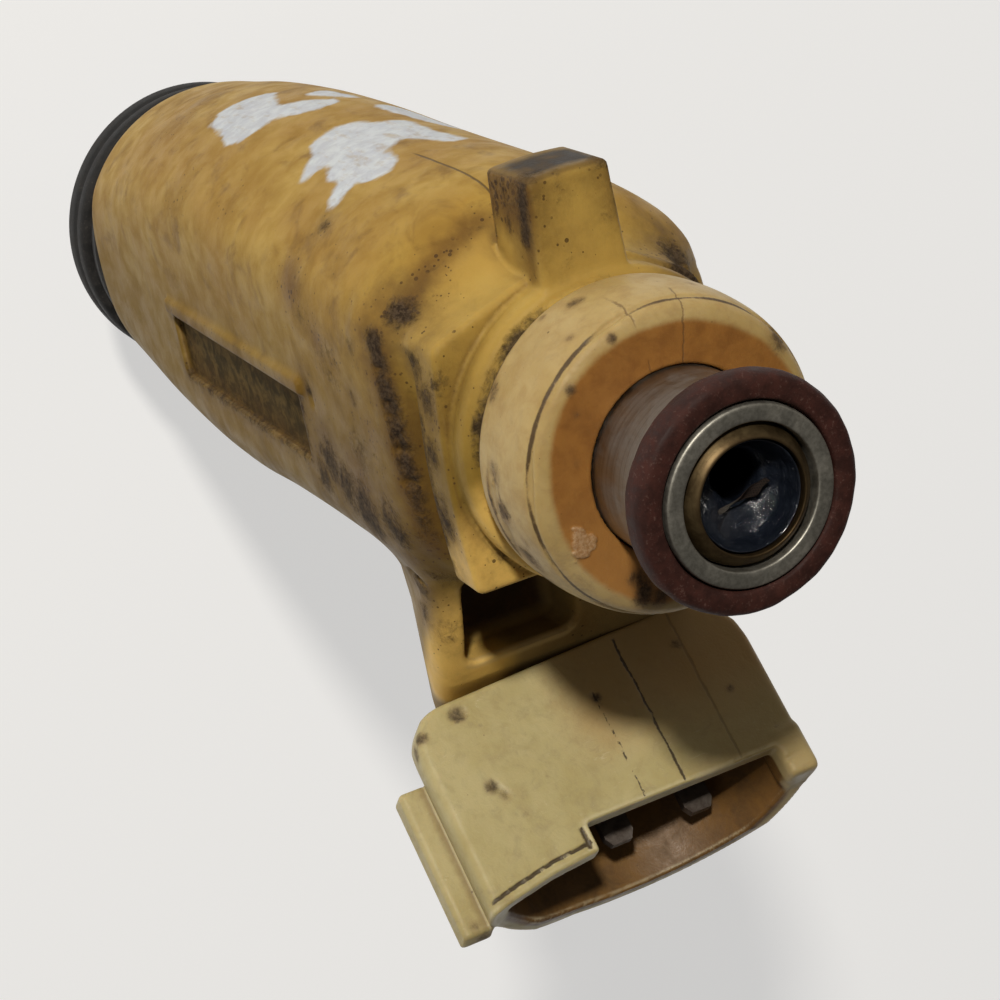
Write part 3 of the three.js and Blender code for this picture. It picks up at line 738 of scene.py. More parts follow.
# where grease and dirt sit on the body: spots (x, y, z, radius, strength) and trails (radius, strength, points)
BODY_SPOTS = [
    (-7.85, 7.3, 69.7, 1.15, 1.05), (-9.65, 5.4, 66.4, 0.7, 0.66), (-9.7, 2.2, 65.1, 0.6, 0.68), (-9.7, -2.97, 59.2, 1.7, 0.95),
    (-9.7, -4.0, 61.2, 1.9, 0.85), (-9.7, -4.8, 63.4, 2.2, 0.95), (-9.6, -4.6, 66.9, 1.8, 0.85), (-9.7, -1.0, 66.8, 1.6, 0.45),
    (-7.15, 9.8, 58.9, 0.7, 0.7), (6.3, 6.2, 73.9, 1.5, 1.15), (7.2, 6.4, 71.3, 1.4, 1.1), (-9.3, 6.6, 63.6, 0.6, 0.45),
    (-8.4, 5.0, 71.6, 1.1, 0.8), (-8.2, 4.6, 73.9, 0.9, 0.66), (-9.9, -1.6, 34.2, 1.3, 0.6), (-8.3, -9.2, 65.2, 1.1, 0.80),
    (-8.2, -10.9, 64.4, 0.9, 0.72), (-6.6, -14.3, 63.2, 0.9, 0.5), (-7.6, -8.0, 67.4, 1.4, 0.62), (-5.0, -5.9, 74.3, 0.8, 0.45),
    (-1.6, 13.4, 74.3, 1.0, 0.75), (-7.3, -11.8, 65.6, 1.2, 0.60), (-8.3, -6.3, 71.0, 1.6, 0.62), (-8.9, -2.0, 72.2, 1.5, 0.50),
    (1.5, 10.5, 75.3, 0.8, 0.40), (-1.0, 9.0, 75.3, 0.7, 0.42), (-9.6, 6.0, 69.6, 0.8, 0.7), (-9.8, 0.9, 57.9, 0.7, 0.8),
    (-9.5, 3.4, 62.4, 2.6, 0.46), (-9.6, -1.2, 64.6, 2.6, 0.54), (-9.5, 5.6, 59.4, 2.0, 0.46), (-9.6, -4.4, 57.4, 1.6, 0.8),
    (-8.6, 3.4, 72.7, 1.1, 0.9), (-8.7, 0.6, 72.4, 1.2, 0.78), (-8.5, -3.1, 72.2, 1.3, 0.86), (-6.7, -5.1, 74.3, 1.1, 0.55),
    (-8.9, 6.9, 70.9, 0.9, 0.6), (-6.9, 6.2, 74.2, 0.8, 0.42), (-9.6, -5.2, 69.4, 1.2, 0.7), (-8.9, 7.9, 67.2, 0.9, 0.42),
]
BODY_TRAILS = [
    (0.62, 0.34, [(-7.0, 7.75, 69.9), (-5.8, 8.8, 69.5), (-4.8, 9.4, 69.5), (-3.85, 9.85, 69.45), (-2.6, 10.3, 69.4)]),
    (0.78, 1.05, [(-9.4, 6.2, 68.9), (-9.5, 4.0, 69.4), (-9.5, 1.9, 69.8), (-9.4, -0.8, 70.0), (-9.2, -3.7, 70.1), (-8.8, -5.8, 69.9)]),
    (0.55, 0.72, [(-8.6, 4.6, 71.4), (-8.8, 1.5, 71.5), (-8.75, -1.5, 71.5), (-8.5, -4.4, 71.4)]),
    (0.50, 0.80, [(-9.7, 0.25, 33.6), (-9.7, 0.2, 45.0), (-9.7, 0.2, 55.7)]),
    (0.70, 0.72, [(-9.7, -3.7, 33.6), (-9.7, -3.7, 45.0), (-9.7, -3.7, 55.7), (-9.7, 0.2, 56.2)]),
    (0.80, 1.0, [(-2.1, 13.3, 74.6), (-2.15, 11.8, 74.5), (-2.3, 10.3, 74.3)]),
    (0.75, 1.0, [(1.9, 13.3, 74.9), (2.4, 12.6, 74.7), (2.4, 10.9, 74.7)]),
    (0.45, 0.62, [(-0.6, 13.3, 75.1), (-0.9, 12.2, 75.1)]),
    (0.45, 0.62, [(-2.35, 13.0, 72.6), (-2.35, 10.6, 72.6)]),
    (0.35, 0.55, [(-2.35, 13.2, 70.9), (-2.4, 10.0, 70.8)]),
]


def body_marks(v, g):
    x, y, z = v.T
    paint = np.full(len(v), 9.0)
    wob = 0.10 * np.sin(x * 1.3 + z * 0.9) + 0.06 * np.sin(z * 1.9 - x * 1.7)
    for r1, r2, a, b in DAUBS:
        paint = smin(paint, capsule(x, y, z, a, b, r1, r2), 0.5)
    paint = paint + wob
    n = g / np.maximum(np.linalg.norm(g, axis=1), 1e-6)[:, None]
    dark = np.maximum(spots(v, BODY_SPOTS), trails(v, BODY_TRAILS))
    cloud = np.maximum(spots(v, [(a, b, c, 2.3 * r + 0.3, 0.72 * s) for a, b, c, r, s in BODY_SPOTS]),
                       trails(v, [(2.3 * r + 0.2, 0.72 * s, p) for r, s, p in BODY_TRAILS]))
    # grease in the neck between the collars, thickest on one side
    ang = np.degrees(np.arctan2(y, x))
    ring = np.exp(-((z - 75.9) / 0.42) ** 2) * np.exp(-((np.hypot(x, y) - 7.75) / 0.55) ** 2)
    amount = 0.5 + 0.75 * np.exp(-((ang - 140) / 30.0) ** 2) + 0.35 * np.exp(-((np.abs(ang) - 175) / 18.0) ** 2)
    amount = amount * (0.82 + 0.22 * np.sin(np.radians(ang) * 9 + 1) + 0.14 * np.sin(np.radians(ang) * 23))
    dark = np.maximum(dark, ring * amount)
    # panel floor
    panel = np.clip((9.4 - np.abs(x)) / 0.15, 0, 1) * ((z > 33.2) & (z < 56) & (y < 0.4) & (y > -4.0))
    brown = spots(v, [
        (-9.4, 7.0, 57.8, 1.9, 0.95), (-9.6, 4.6, 61.2, 1.6, 0.75), (-9.7, 3.7, 63.5, 1.2, 0.6), (-9.6, 0.6, 66.8, 1.6, 0.55),
        (-8.0, 9.0, 46.0, 2.4, 0.45), (-8.6, 8.4, 38.0, 3.0, 0.5), (-5.0, 11.0, 28.0, 3.5, 0.45), (-7.0, 7.4, 72.5, 1.2, 0.35),
        (-9.0, 6.3, 66.5, 1.4, 0.5), (-9.7, -2.5, 63.5, 2.4, 0.6), (-7.6, 9.3, 62.6, 1.6, 0.35), (-2.2, 9.0, 75.0, 1.0, 0.4),
        (-8.4, -7.0, 66.5, 2.2, 0.5), (0.6, -14.8, 64.9, 2.5, 0.5), (-9.9, 0.9, 57.0, 1.2, 0.5),
    ])
    brown = np.maximum(brown, trails(v, [
        (0.9, 0.85, [(-7.4, 7.6, 69.8), (-5.8, 8.8, 69.4), (-4.8, 9.4, 69.3), (-3.85, 9.85, 69.2), (-2.6, 10.4, 69.1)]),
        (1.0, 0.8, [(-9.3, 6.0, 69.2), (-9.5, 1.9, 69.6), (-9.1, -3.7, 69.7), (-8.4, -6.0, 69.2)]),
        (0.9, 0.75, [(-2.2, 13.3, 74.8), (-2.3, 10.6, 74.6), (-2.4, 8.6, 74.4)]),
    ]))
    # the peg: dark worn top; its left-facing side painted brown and darker, a stain together with painted shade
    peg = (y > 8.6) & (z > 70) & (np.abs(x) < 2.7)
    top = (y > 8.6) * (z > 69) * (np.abs(x) < 2.9) * np.clip((y - 12.6) / 0.4, 0, 1) * np.clip((n[:, 1] - 0.2) / 0.5, 0, 1)
    top = top * (0.30 + 0.70 * np.clip((2.25 - np.abs(x)) / 0.9, 0, 1) * np.clip((1.95 - np.abs(z - 73.0)) / 0.9, 0, 1))
    flank = peg * np.clip((-n[:, 0] - 0.4) / 0.4, 0, 1) * np.clip((y - 9.4) / 2.2, 0, 1)
    brown = np.maximum(brown, 1.05 * flank)
    dark = np.maximum(dark, 0.46 * flank)
    # painted shade: mask of the deep pocket under the plate, which the body's colour paints near-black
    pocket = np.clip((3.3 - np.abs(x + 2.95)) / 0.5, 0, 1) * np.clip((3.1 - np.abs(y + 11.6)) / 0.5, 0, 1) * (z < 66.6) * (z > 61)
    return {"paint": paint, "dark": dark, "brown": brown, "panel": panel, "pegtop": top, "pocket": pocket, "cloud": cloud}


def collar_marks(v, g):
    x, y, z = v.T
    r = np.hypot(x, y)
    ang = np.degrees(np.arctan2(y, x))
    dark = spots(v, [
        (-3.0, -5.9, 82.1, 0.75, 1.0), (-3.3, -5.1, 82.1, 0.7, 0.9), (-2.2, -6.3, 82.1, 0.7, 0.9), (-2.2, 7.84, 78.3, 0.62, 0.72),
        (6.3, 4.2, 81.6, 1.0, 0.8), (7.3, 3.2, 80.8, 0.9, 0.9), (-2.4, 6.9, 82.1, 0.35, 0.9), (-4.9, 5.15, 82.05, 0.4, 0.7),
        (-4.9, 3.9, 82.13, 0.3, 0.5), (-5.3, 1.6, 82.13, 0.35, 0.45), (-7.5, -3.0, 78.4, 0.8, 0.6), (-7.1, -3.9, 79.6, 0.6, 0.55),
        (-7.9, -2.2, 80.2, 0.5, 0.5), (-3.6, 7.3, 77.3, 0.4, 0.6),
        (-8.2, 1.0, 78.6, 0.9, 0.66), (-8.1, -0.9, 78.9, 1.0, 0.74), (-7.5, -3.3, 79.5, 1.0, 0.74), (-6.4, -5.2, 78.8, 1.1, 0.7),
        (-6.9, 4.6, 77.2, 0.8, 0.68), (-5.2, -6.4, 80.3, 0.8, 0.6), (-3.9, 7.1, 80.6, 0.4, 0.6), (3.4, 7.6, 79.6, 0.5, 0.6),
    ])
    back = np.exp(-((z - 76.6) / 0.3) ** 2) * (0.35 + 0.8 * np.exp(-((ang - 150) / 32.0) ** 2))
    dark = np.maximum(dark, back)
    dark = np.maximum(dark, trails(v, [(0.24, 1.0, [(-8.25, 1.7, 78.1), (-8.3, 0.0, 77.7), (-8.1, -1.9, 77.8), (-7.4, -3.8, 77.9)]),
                                       (0.14, 0.6, [(-8.1, 1.8, 79.1), (-8.2, 0.0, 79.0), (-8.0, -1.9, 78.9)])]))
    # front face, stained orange by fuel
    face = np.clip((z - 81.93) / 0.1, 0, 1) * np.clip((7.0 + 0.12 * np.sin(np.radians(ang) * 3 + 1) - r) / 0.6 + 0.5, 0, 1)
    chip = np.clip((z - 82.14) / 0.04, 0, 1)
    line = np.clip(1 - np.abs(np.hypot(r - COLLAR_LINE_R(81.55), z - 81.55)) / 0.3, 0, 1)
    return {"dark": dark, "face": face, "chip": chip, "line": line}


def socket_marks(v, g):
    x, y, z = v.T
    n, c = (y + z - RZ) * S2, (z - RZ - y) * S2
    q = np.stack([x, n, c], 1)
    dark = spots(q, [
        (-7.5, -28.6, -4.05, 0.55, 1.1), (-9.95, -28.8, -3.5, 0.45, 1.1), (-10.3, -29.5, -3.0, 0.6, 0.8), (-7.6, -28.6, 0.5, 0.55, 0.85),
        (-7.1, -28.6, 1.2, 0.6, 0.6), (-6.3, -28.6, 2.6, 0.6, 0.5), (0.3, -28.6, -2.1, 0.35, 1.0), (7.8, -28.6, 0.2, 0.4, 0.75),
        (6.2, -28.6, -3.4, 0.5, 0.6), (-10.6, -32.4, 6.9, 0.75, 1.0), (-10.9, -31.8, 6.6, 0.5, 0.8), (-9.5, -28.7, 6.6, 0.5, 0.5),
        (-5.6, -28.6, -1.3, 0.22, 0.5), (-6.6, -28.6, -3.0, 0.2, 0.5), (-4.4, -28.6, 1.1, 0.2, 0.4),
        (4.6, -28.6, 3.6, 0.4, 0.4), (9.3, -28.6, 3.2, 0.4, 0.4),
    ])
    rim = np.interp(x, RIM_X, RIM_C)
    top = np.clip(1 - np.abs(n + 28.68) / 0.3, 0, 1)
    near = np.where(x < -3.7, np.abs(c - rim + 0.62), 9.0)
    near = np.minimum(near, np.maximum(np.abs(x + 3.98), np.abs(c - 5.1) - 0.55))
    near = np.minimum(near, np.where((x > -4.0) & (x < 8.8), np.abs(c - 4.12) + 0.1, 9.0))
    line = top * np.clip(1 - near / 0.28, 0, 1)
    lip = rim + 0.85 * np.clip((-30.6 - n) / 3.5, 0, 1) * np.clip((x + 9.5) / 3.0, 0, 1)
    # mask for the inside of the mouth, which gets painted shade
    inside = np.clip((9.95 + 0.45 * np.clip((-30.5 - n) / 1.5, 0, 1) - np.hypot(x, n + 27.0)) / 0.3 + 0.5, 0, 1) * np.clip((-29.85 - n) / 0.2 + 0.5, 0, 1)
    inside = inside * np.clip((9.45 - np.abs(x)) / 0.3 + 0.5, 0, 1) * (c > -2.5) * np.clip((lip - 0.22 + 0.6 * np.clip((-30.5 - n) / 1.5, 0, 1) - c) / 0.4 + 0.5, 0, 1)
    return {"dark": dark, "line": line, "inside": inside}


# =====================================================================================
# materials
# =====================================================================================
def plane_coords(n):
    """The socket's own axes: x, n out of its top wall, c out of its mouth."""
    x, y, z = n.position()
    nn = n.math("MULTIPLY", n.math("SUBTRACT", n.math("ADD", y, z), RZ), S2)
    cc = n.math("MULTIPLY", n.math("SUBTRACT", n.math("SUBTRACT", z, RZ), y), S2)
    return x, nn, cc


def ragged(n, field, lo, hi, amount=0.8, scale=2.2, seed=0.0, detail=6.0):
    """Turns a soft field into a mark with a broken, grainy edge."""
    t = n.noise(scale, detail, 0.72, p=n.p, seed=seed)
    f = n.math("MULTIPLY_ADD", n.math("SUBTRACT", t, 0.5), amount, field)
    return n.step(f, lo, hi)


def broken(n, field, seed):
    """Dirt that breaks up into smears and grains towards its edge."""
    big = n.noise(0.75, 4, 0.7, 1.2, seed=seed)
    small = n.noise(2.6, 6, 0.72, 0.8, seed=seed + 0.5)
    f = n.math("MULTIPLY_ADD", n.math("SUBTRACT", big, 0.5), 1.25, field)
    f = n.math("MULTIPLY_ADD", n.math("SUBTRACT", small, 0.5), 1.0, f)
    gate = n.step(field, 0.08, 0.45)
    return n.math("MULTIPLY", n.step(f, 0.30, 0.98), gate)


def body_plastic():
    n = Nodes("body_plastic")
    x, y, z = n.position()
    big = n.noise(0.16, 3, 0.6, seed=1.0)
    mid = n.noise(0.55, 4, 0.55, 0.4, seed=2.0)
    fine = n.noise(5.5, 4, 0.65, seed=3.0)
    col = n.mix(n.step(big, 0.36, 0.64), (0.37, 0.215, 0.038), (0.44, 0.28, 0.055))
    col = n.mix(n.step(mid, 0.34, 0.72, 0.0, 0.65), col, (0.28, 0.155, 0.027))
    smear = n.noise(0.42, 4, 0.58, 0.9, p=n.scaled(1.0, 1.0, 0.8), seed=2.5)
    col = n.mix(n.step(smear, 0.48, 0.74, 0.0, 0.70), col, (0.165, 0.085, 0.017))
    # the shelf, plate and second collar are lighter than the long body
    front = n.step(z, 68.6, 71.5)
    col = n.mix(n.math("MULTIPLY", front, 0.60), col, (0.52, 0.345, 0.085))
    top = n.step(y, -2.0, 9.0)
    col = n.mix(n.math("MULTIPLY", n.math("SUBTRACT", 1.0, top), 0.74), col, (0.155, 0.092, 0.008))
    low = n.step(y, -7.0, -12.0)
    col = n.mix(n.math("MULTIPLY", low, 0.62), col, (0.31, 0.215, 0.095))
    # painted highlight: a bright orange-yellow patch where the body meets the socket
    sx, sn, sc = plane_coords(n)
    painted_highlight = n.math("MULTIPLY", n.step(n.math("ADD", sc, n.math("MULTIPLY", mid, 1.2)), -8.2, -6.6), n.step(sx, -2.6, -4.4))
    painted_highlight = n.math("MULTIPLY", painted_highlight, n.step(sn, -31.5, -30.0))
    col = n.mix(n.math("MULTIPLY", painted_highlight, 0.90), col, (0.78, 0.50, 0.13))
    brown = n.attr("brown")
    bm = ragged(n, brown, 0.08, 1.10, 0.9, 0.8, 4.0)
    col = n.mix(n.math("MULTIPLY", bm, 0.84), col, (0.150, 0.072, 0.014))
    # dirt and painted shade: darker brown in hollows and corners, by how closed in each point is
    corner = n.attr("corner")
    corner_dirt_and_shade = ragged(n, corner, 0.30, 0.95, 0.5, 2.5, 5.0)
    col = n.mix(n.math("MULTIPLY", corner_dirt_and_shade, 0.62), col, (0.115, 0.060, 0.018))
    shade = n.step(n.attr("shade"), 0.35, 1.0)
    col = n.mix(n.math("MULTIPLY", shade, 0.35), col, (0.14, 0.075, 0.022))
    # worn edges are paler
    edge = ragged(n, n.attr("edge"), 0.42, 0.85, 0.35, 1.6, 6.0)
    col = n.mix(n.math("MULTIPLY", edge, 0.5), col, (0.60, 0.43, 0.19))
    # sunk panel full of old dirt
    panel = n.attr("panel")
    pd = n.noise(0.9, 6, 0.7, 0.8, seed=7.0)
    pcol = n.mix(n.step(pd, 0.40, 0.62), (0.022, 0.015, 0.005), (0.105, 0.066, 0.020))
    col = n.mix(n.math("MULTIPLY", panel, 0.92), col, pcol)
    # small dark specks, more of them near the stains
    vor = n.voronoi(1.05, seed=8.0)
    cloud = n.attr("cloud")
    amount = n.math("MULTIPLY_ADD", n.math("MAXIMUM", brown, cloud), 0.15, n.math("MULTIPLY_ADD", front, 0.03, 0.05))
    speck = n.math("LESS_THAN", vor, amount)
    gate = n.step(n.noise(0.5, 2, seed=9.0), 0.42, 0.52)
    speck = n.math("MULTIPLY", speck, gate)
    vor2 = n.voronoi(3.1, seed=10.0)
    speck2 = n.math("MULTIPLY", n.math("LESS_THAN", vor2, n.math("MULTIPLY_ADD", n.math("MAXIMUM", brown, cloud), 0.42, 0.055)), n.step(n.noise(0.8, 2, seed=11.0), 0.38, 0.52))
    col = n.mix(n.math("MULTIPLY", n.math("MAXIMUM", speck, speck2), 0.78), col, (0.055, 0.028, 0.012))
    # dark grease and dirt
    dark = n.attr("dark")
    dm = broken(n, dark, 12.0)
    halo = ragged(n, cloud, 0.12, 0.80, 0.85, 0.8, 13.0)
    col = n.mix(n.math("MULTIPLY", halo, 0.66), col, (0.105, 0.055, 0.017))
    dcol = n.mix(n.step(fine, 0.4, 0.65), (0.016, 0.010, 0.007), (0.075, 0.050, 0.030))
    col = n.mix(n.math("MULTIPLY", dm, 0.92), col, dcol)
    pt = ragged(n, n.attr("pegtop"), 0.20, 0.95, 0.65, 1.3, 14.0)
    col = n.mix(n.math("MULTIPLY", n.step(n.attr("pegtop"), 0.05, 0.3), 0.7), col, (0.13, 0.078, 0.026))
    col = n.mix(n.math("MULTIPLY", pt, 0.95), col, n.mix(n.step(mid, 0.42, 0.72), (0.012, 0.009, 0.007), (0.090, 0.055, 0.022)))
    # fine mould parting line along the top
    pl = n.math("ABSOLUTE", n.math("ADD", x, n.math("MULTIPLY_ADD", mid, 0.12, 1.12)))
    pm = n.math("MULTIPLY", n.step(pl, 0.10, 0.03), n.math("MULTIPLY", n.step(z, 58.0, 59.5), n.step(y, 9.0, 10.0)))
    pm = n.math("MULTIPLY", pm, n.step(z, 69.5, 68.5))
    col = n.mix(n.math("MULTIPLY", pm, 0.75), col, (0.06, 0.035, 0.015))
    # painted shade: the deep pocket under the plate painted near-black
    col = n.mix(n.math("MULTIPLY", n.attr("pocket"), 0.86), col, n.mix(n.step(mid, 0.4, 0.7), (0.020, 0.009, 0.005), (0.075, 0.035, 0.012)))
    # white marking paint, thin and streaked at its edges
    pn = n.noise(0.55, 4, 0.6, 0.8, seed=15.0)
    streak = n.noise(0.9, 4, 0.65, p=n.scaled(2.2, 1.0, 0.7), seed=16.0)
    pv = n.math("MULTIPLY_ADD", n.math("SUBTRACT", pn, 0.5), 1.1, n.attr("paint"))
    pv = n.math("MULTIPLY_ADD", n.math("SUBTRACT", streak, 0.5), 0.35, pv)
    paint = n.step(pv, 0.22, -0.26)
    thin = n.step(streak, 0.28, 0.50, 0.62, 1.0)
    pc = n.mix(n.step(n.noise(1.1, 4, 0.65, 0.6, seed=18.0), 0.36, 0.66), (0.50, 0.53, 0.58), (0.61, 0.65, 0.68))
    col = n.mix(n.math("MULTIPLY", n.math("MULTIPLY", paint, thin), 0.94), col, pc)
    rough = n.step(mid, 0.3, 0.7, 0.42, 0.62)
    rough = n.mixf(dm, rough, 0.78)
    rough = n.mixf(paint, rough, 0.55)
    rough = n.mixf(panel, rough, 0.95)
    h = n.math("MULTIPLY_ADD", fine, 0.35, n.math("MULTIPLY", mid, 0.8))
    h = n.math("MULTIPLY_ADD", dm, 0.9, h)
    h = n.math("MULTIPLY_ADD", paint, 0.8, h)
    h = n.math("MULTIPLY_ADD", n.noise(0.9, 3, 0.6, p=n.scaled(1.0, 1.0, 0.4), seed=17.0), 0.18, h)
    h = n.math("MULTIPLY_ADD", pm, -0.6, h)
    bump = n.bump(h, 0.5, 0.11)
    return n.finish(col, rough, bump, subsurface=0.08, specular=0.13)


def collar_plastic():
    n = Nodes("collar_plastic")
    x, y, z = n.position()
    big = n.noise(0.22, 3, 0.6, seed=21.0)
    mid = n.noise(0.9, 5, 0.65, 0.3, seed=22.0)
    fine = n.noise(6.0, 4, 0.65, seed=23.0)
    col = n.mix(n.step(big, 0.35, 0.65), (0.40, 0.27, 0.090), (0.48, 0.345, 0.140))
    col = n.mix(n.step(mid, 0.42, 0.75, 0.0, 0.5), col, (0.34, 0.205, 0.070))
    low = n.step(y, 1.5, -6.0)
    film = n.noise(0.7, 6, 0.74, 1.5, p=n.scaled(1.0, 1.0, 1.5), seed=20.5)
    col = n.mix(n.math("MULTIPLY", n.step(film, 0.44, 0.70), n.math("MULTIPLY_ADD", low, 0.42, 0.16)), col, (0.20, 0.135, 0.070))
    col = n.mix(n.math("MULTIPLY", low, 0.30), col, (0.40, 0.30, 0.165))
    # fuel stain on the front face, deeper at the bottom
    face = n.attr("face")
    ff = ragged(n, face, 0.30, 0.95, 0.6, 0.9, 24.0)
    fcol = n.mix(n.step(mid, 0.35, 0.7), (0.31, 0.130, 0.026), (0.225, 0.088, 0.017))
    fcol = n.mix(n.step(y, 3.0, -6.5, 0.0, 0.8), fcol, (0.40, 0.185, 0.048))
    col = n.mix(n.math("MULTIPLY", ff, 0.95), col, fcol)
    # rim of the face, a pale waxy band
    edge = ragged(n, n.attr("edge"), 0.45, 0.9, 0.3, 1.4, 25.0)
    col = n.mix(n.math("MULTIPLY", n.math("MULTIPLY", edge, n.math("SUBTRACT", 1.0, ff)), 0.45), col, (0.60, 0.46, 0.24))
    line = n.attr("line")
    lm = ragged(n, line, 0.50, 0.82, 0.62, 1.6, 26.0)
    col = n.mix(n.math("MULTIPLY", lm, 0.88), col, (0.050, 0.026, 0.012))
    vor = n.voronoi(1.25, seed=27.0)
    speck = n.math("MULTIPLY", n.math("LESS_THAN", vor, 0.085), n.step(n.noise(0.6, 2, seed=28.0), 0.46, 0.56))
    vor2 = n.voronoi(3.6, seed=29.0)
    speck2 = n.math("MULTIPLY", n.math("LESS_THAN", vor2, 0.10), n.step(n.noise(0.9, 2, seed=30.0), 0.50, 0.62))
    col = n.mix(n.math("MULTIPLY", n.math("MAXIMUM", speck, speck2), 0.7), col, (0.07, 0.032, 0.012))
    dark = n.attr("dark")
    halo = ragged(n, dark, 0.12, 0.75, 0.5, 0.9, 31.0)
    col = n.mix(n.math("MULTIPLY", halo, 0.5), col, (0.17, 0.085, 0.028))
    dm = broken(n, dark, 32.0)
    dcol = n.mix(n.step(fine, 0.4, 0.65), (0.020, 0.012, 0.008), (0.095, 0.060, 0.032))
    col = n.mix(n.math("MULTIPLY", dm, 0.88), col, dcol)
    # a few hairline cracks running in from the rim
    ang = n.math("ARCTAN2", y, x)
    cw = n.math("MULTIPLY_ADD", n.math("SUBTRACT", mid, 0.5), 0.10, ang)
    crack = n.math("MAXIMUM", n.step(n.math("ABSOLUTE", n.math("SUBTRACT", cw, 1.37)), 0.010, 0.004), n.step(n.math("ABSOLUTE", n.math("SUBTRACT", cw, 1.72)), 0.012, 0.004))
    crack = n.math("MULTIPLY", crack, n.step(n.noise(0.8, 2, seed=33.0), 0.40, 0.52))
    crack = n.math("MULTIPLY", crack, n.step(z, 79.0, 80.5))
    col = n.mix(n.math("MULTIPLY", crack, 0.55), col, (0.10, 0.05, 0.02))
    chip = n.attr("chip")
    col = n.mix(n.math("MULTIPLY", chip, 0.62), col, n.mix(n.step(fine, 0.4, 0.6), (0.52, 0.36, 0.21), (0.33, 0.19, 0.09)))
    rough = n.step(mid, 0.3, 0.7, 0.40, 0.58)
    rough = n.mixf(dm, rough, 0.75)
    rough = n.mixf(n.math("MULTIPLY", ff, 0.7), rough, 0.46)
    h = n.math("MULTIPLY_ADD", fine, 0.35, n.math("MULTIPLY", mid, 0.9))
    h = n.math("MULTIPLY_ADD", dm, 0.7, h)
    h = n.math("MULTIPLY_ADD", crack, -0.4, h)
    h = n.math("MULTIPLY_ADD", n.noise(2.2, 3, 0.6, p=n.scaled(0.25, 0.25, 1.6), seed=34.0), 0.35, h)
    return n.finish(col, rough, n.bump(h, 0.45, 0.10), subsurface=0.12, specular=0.28)


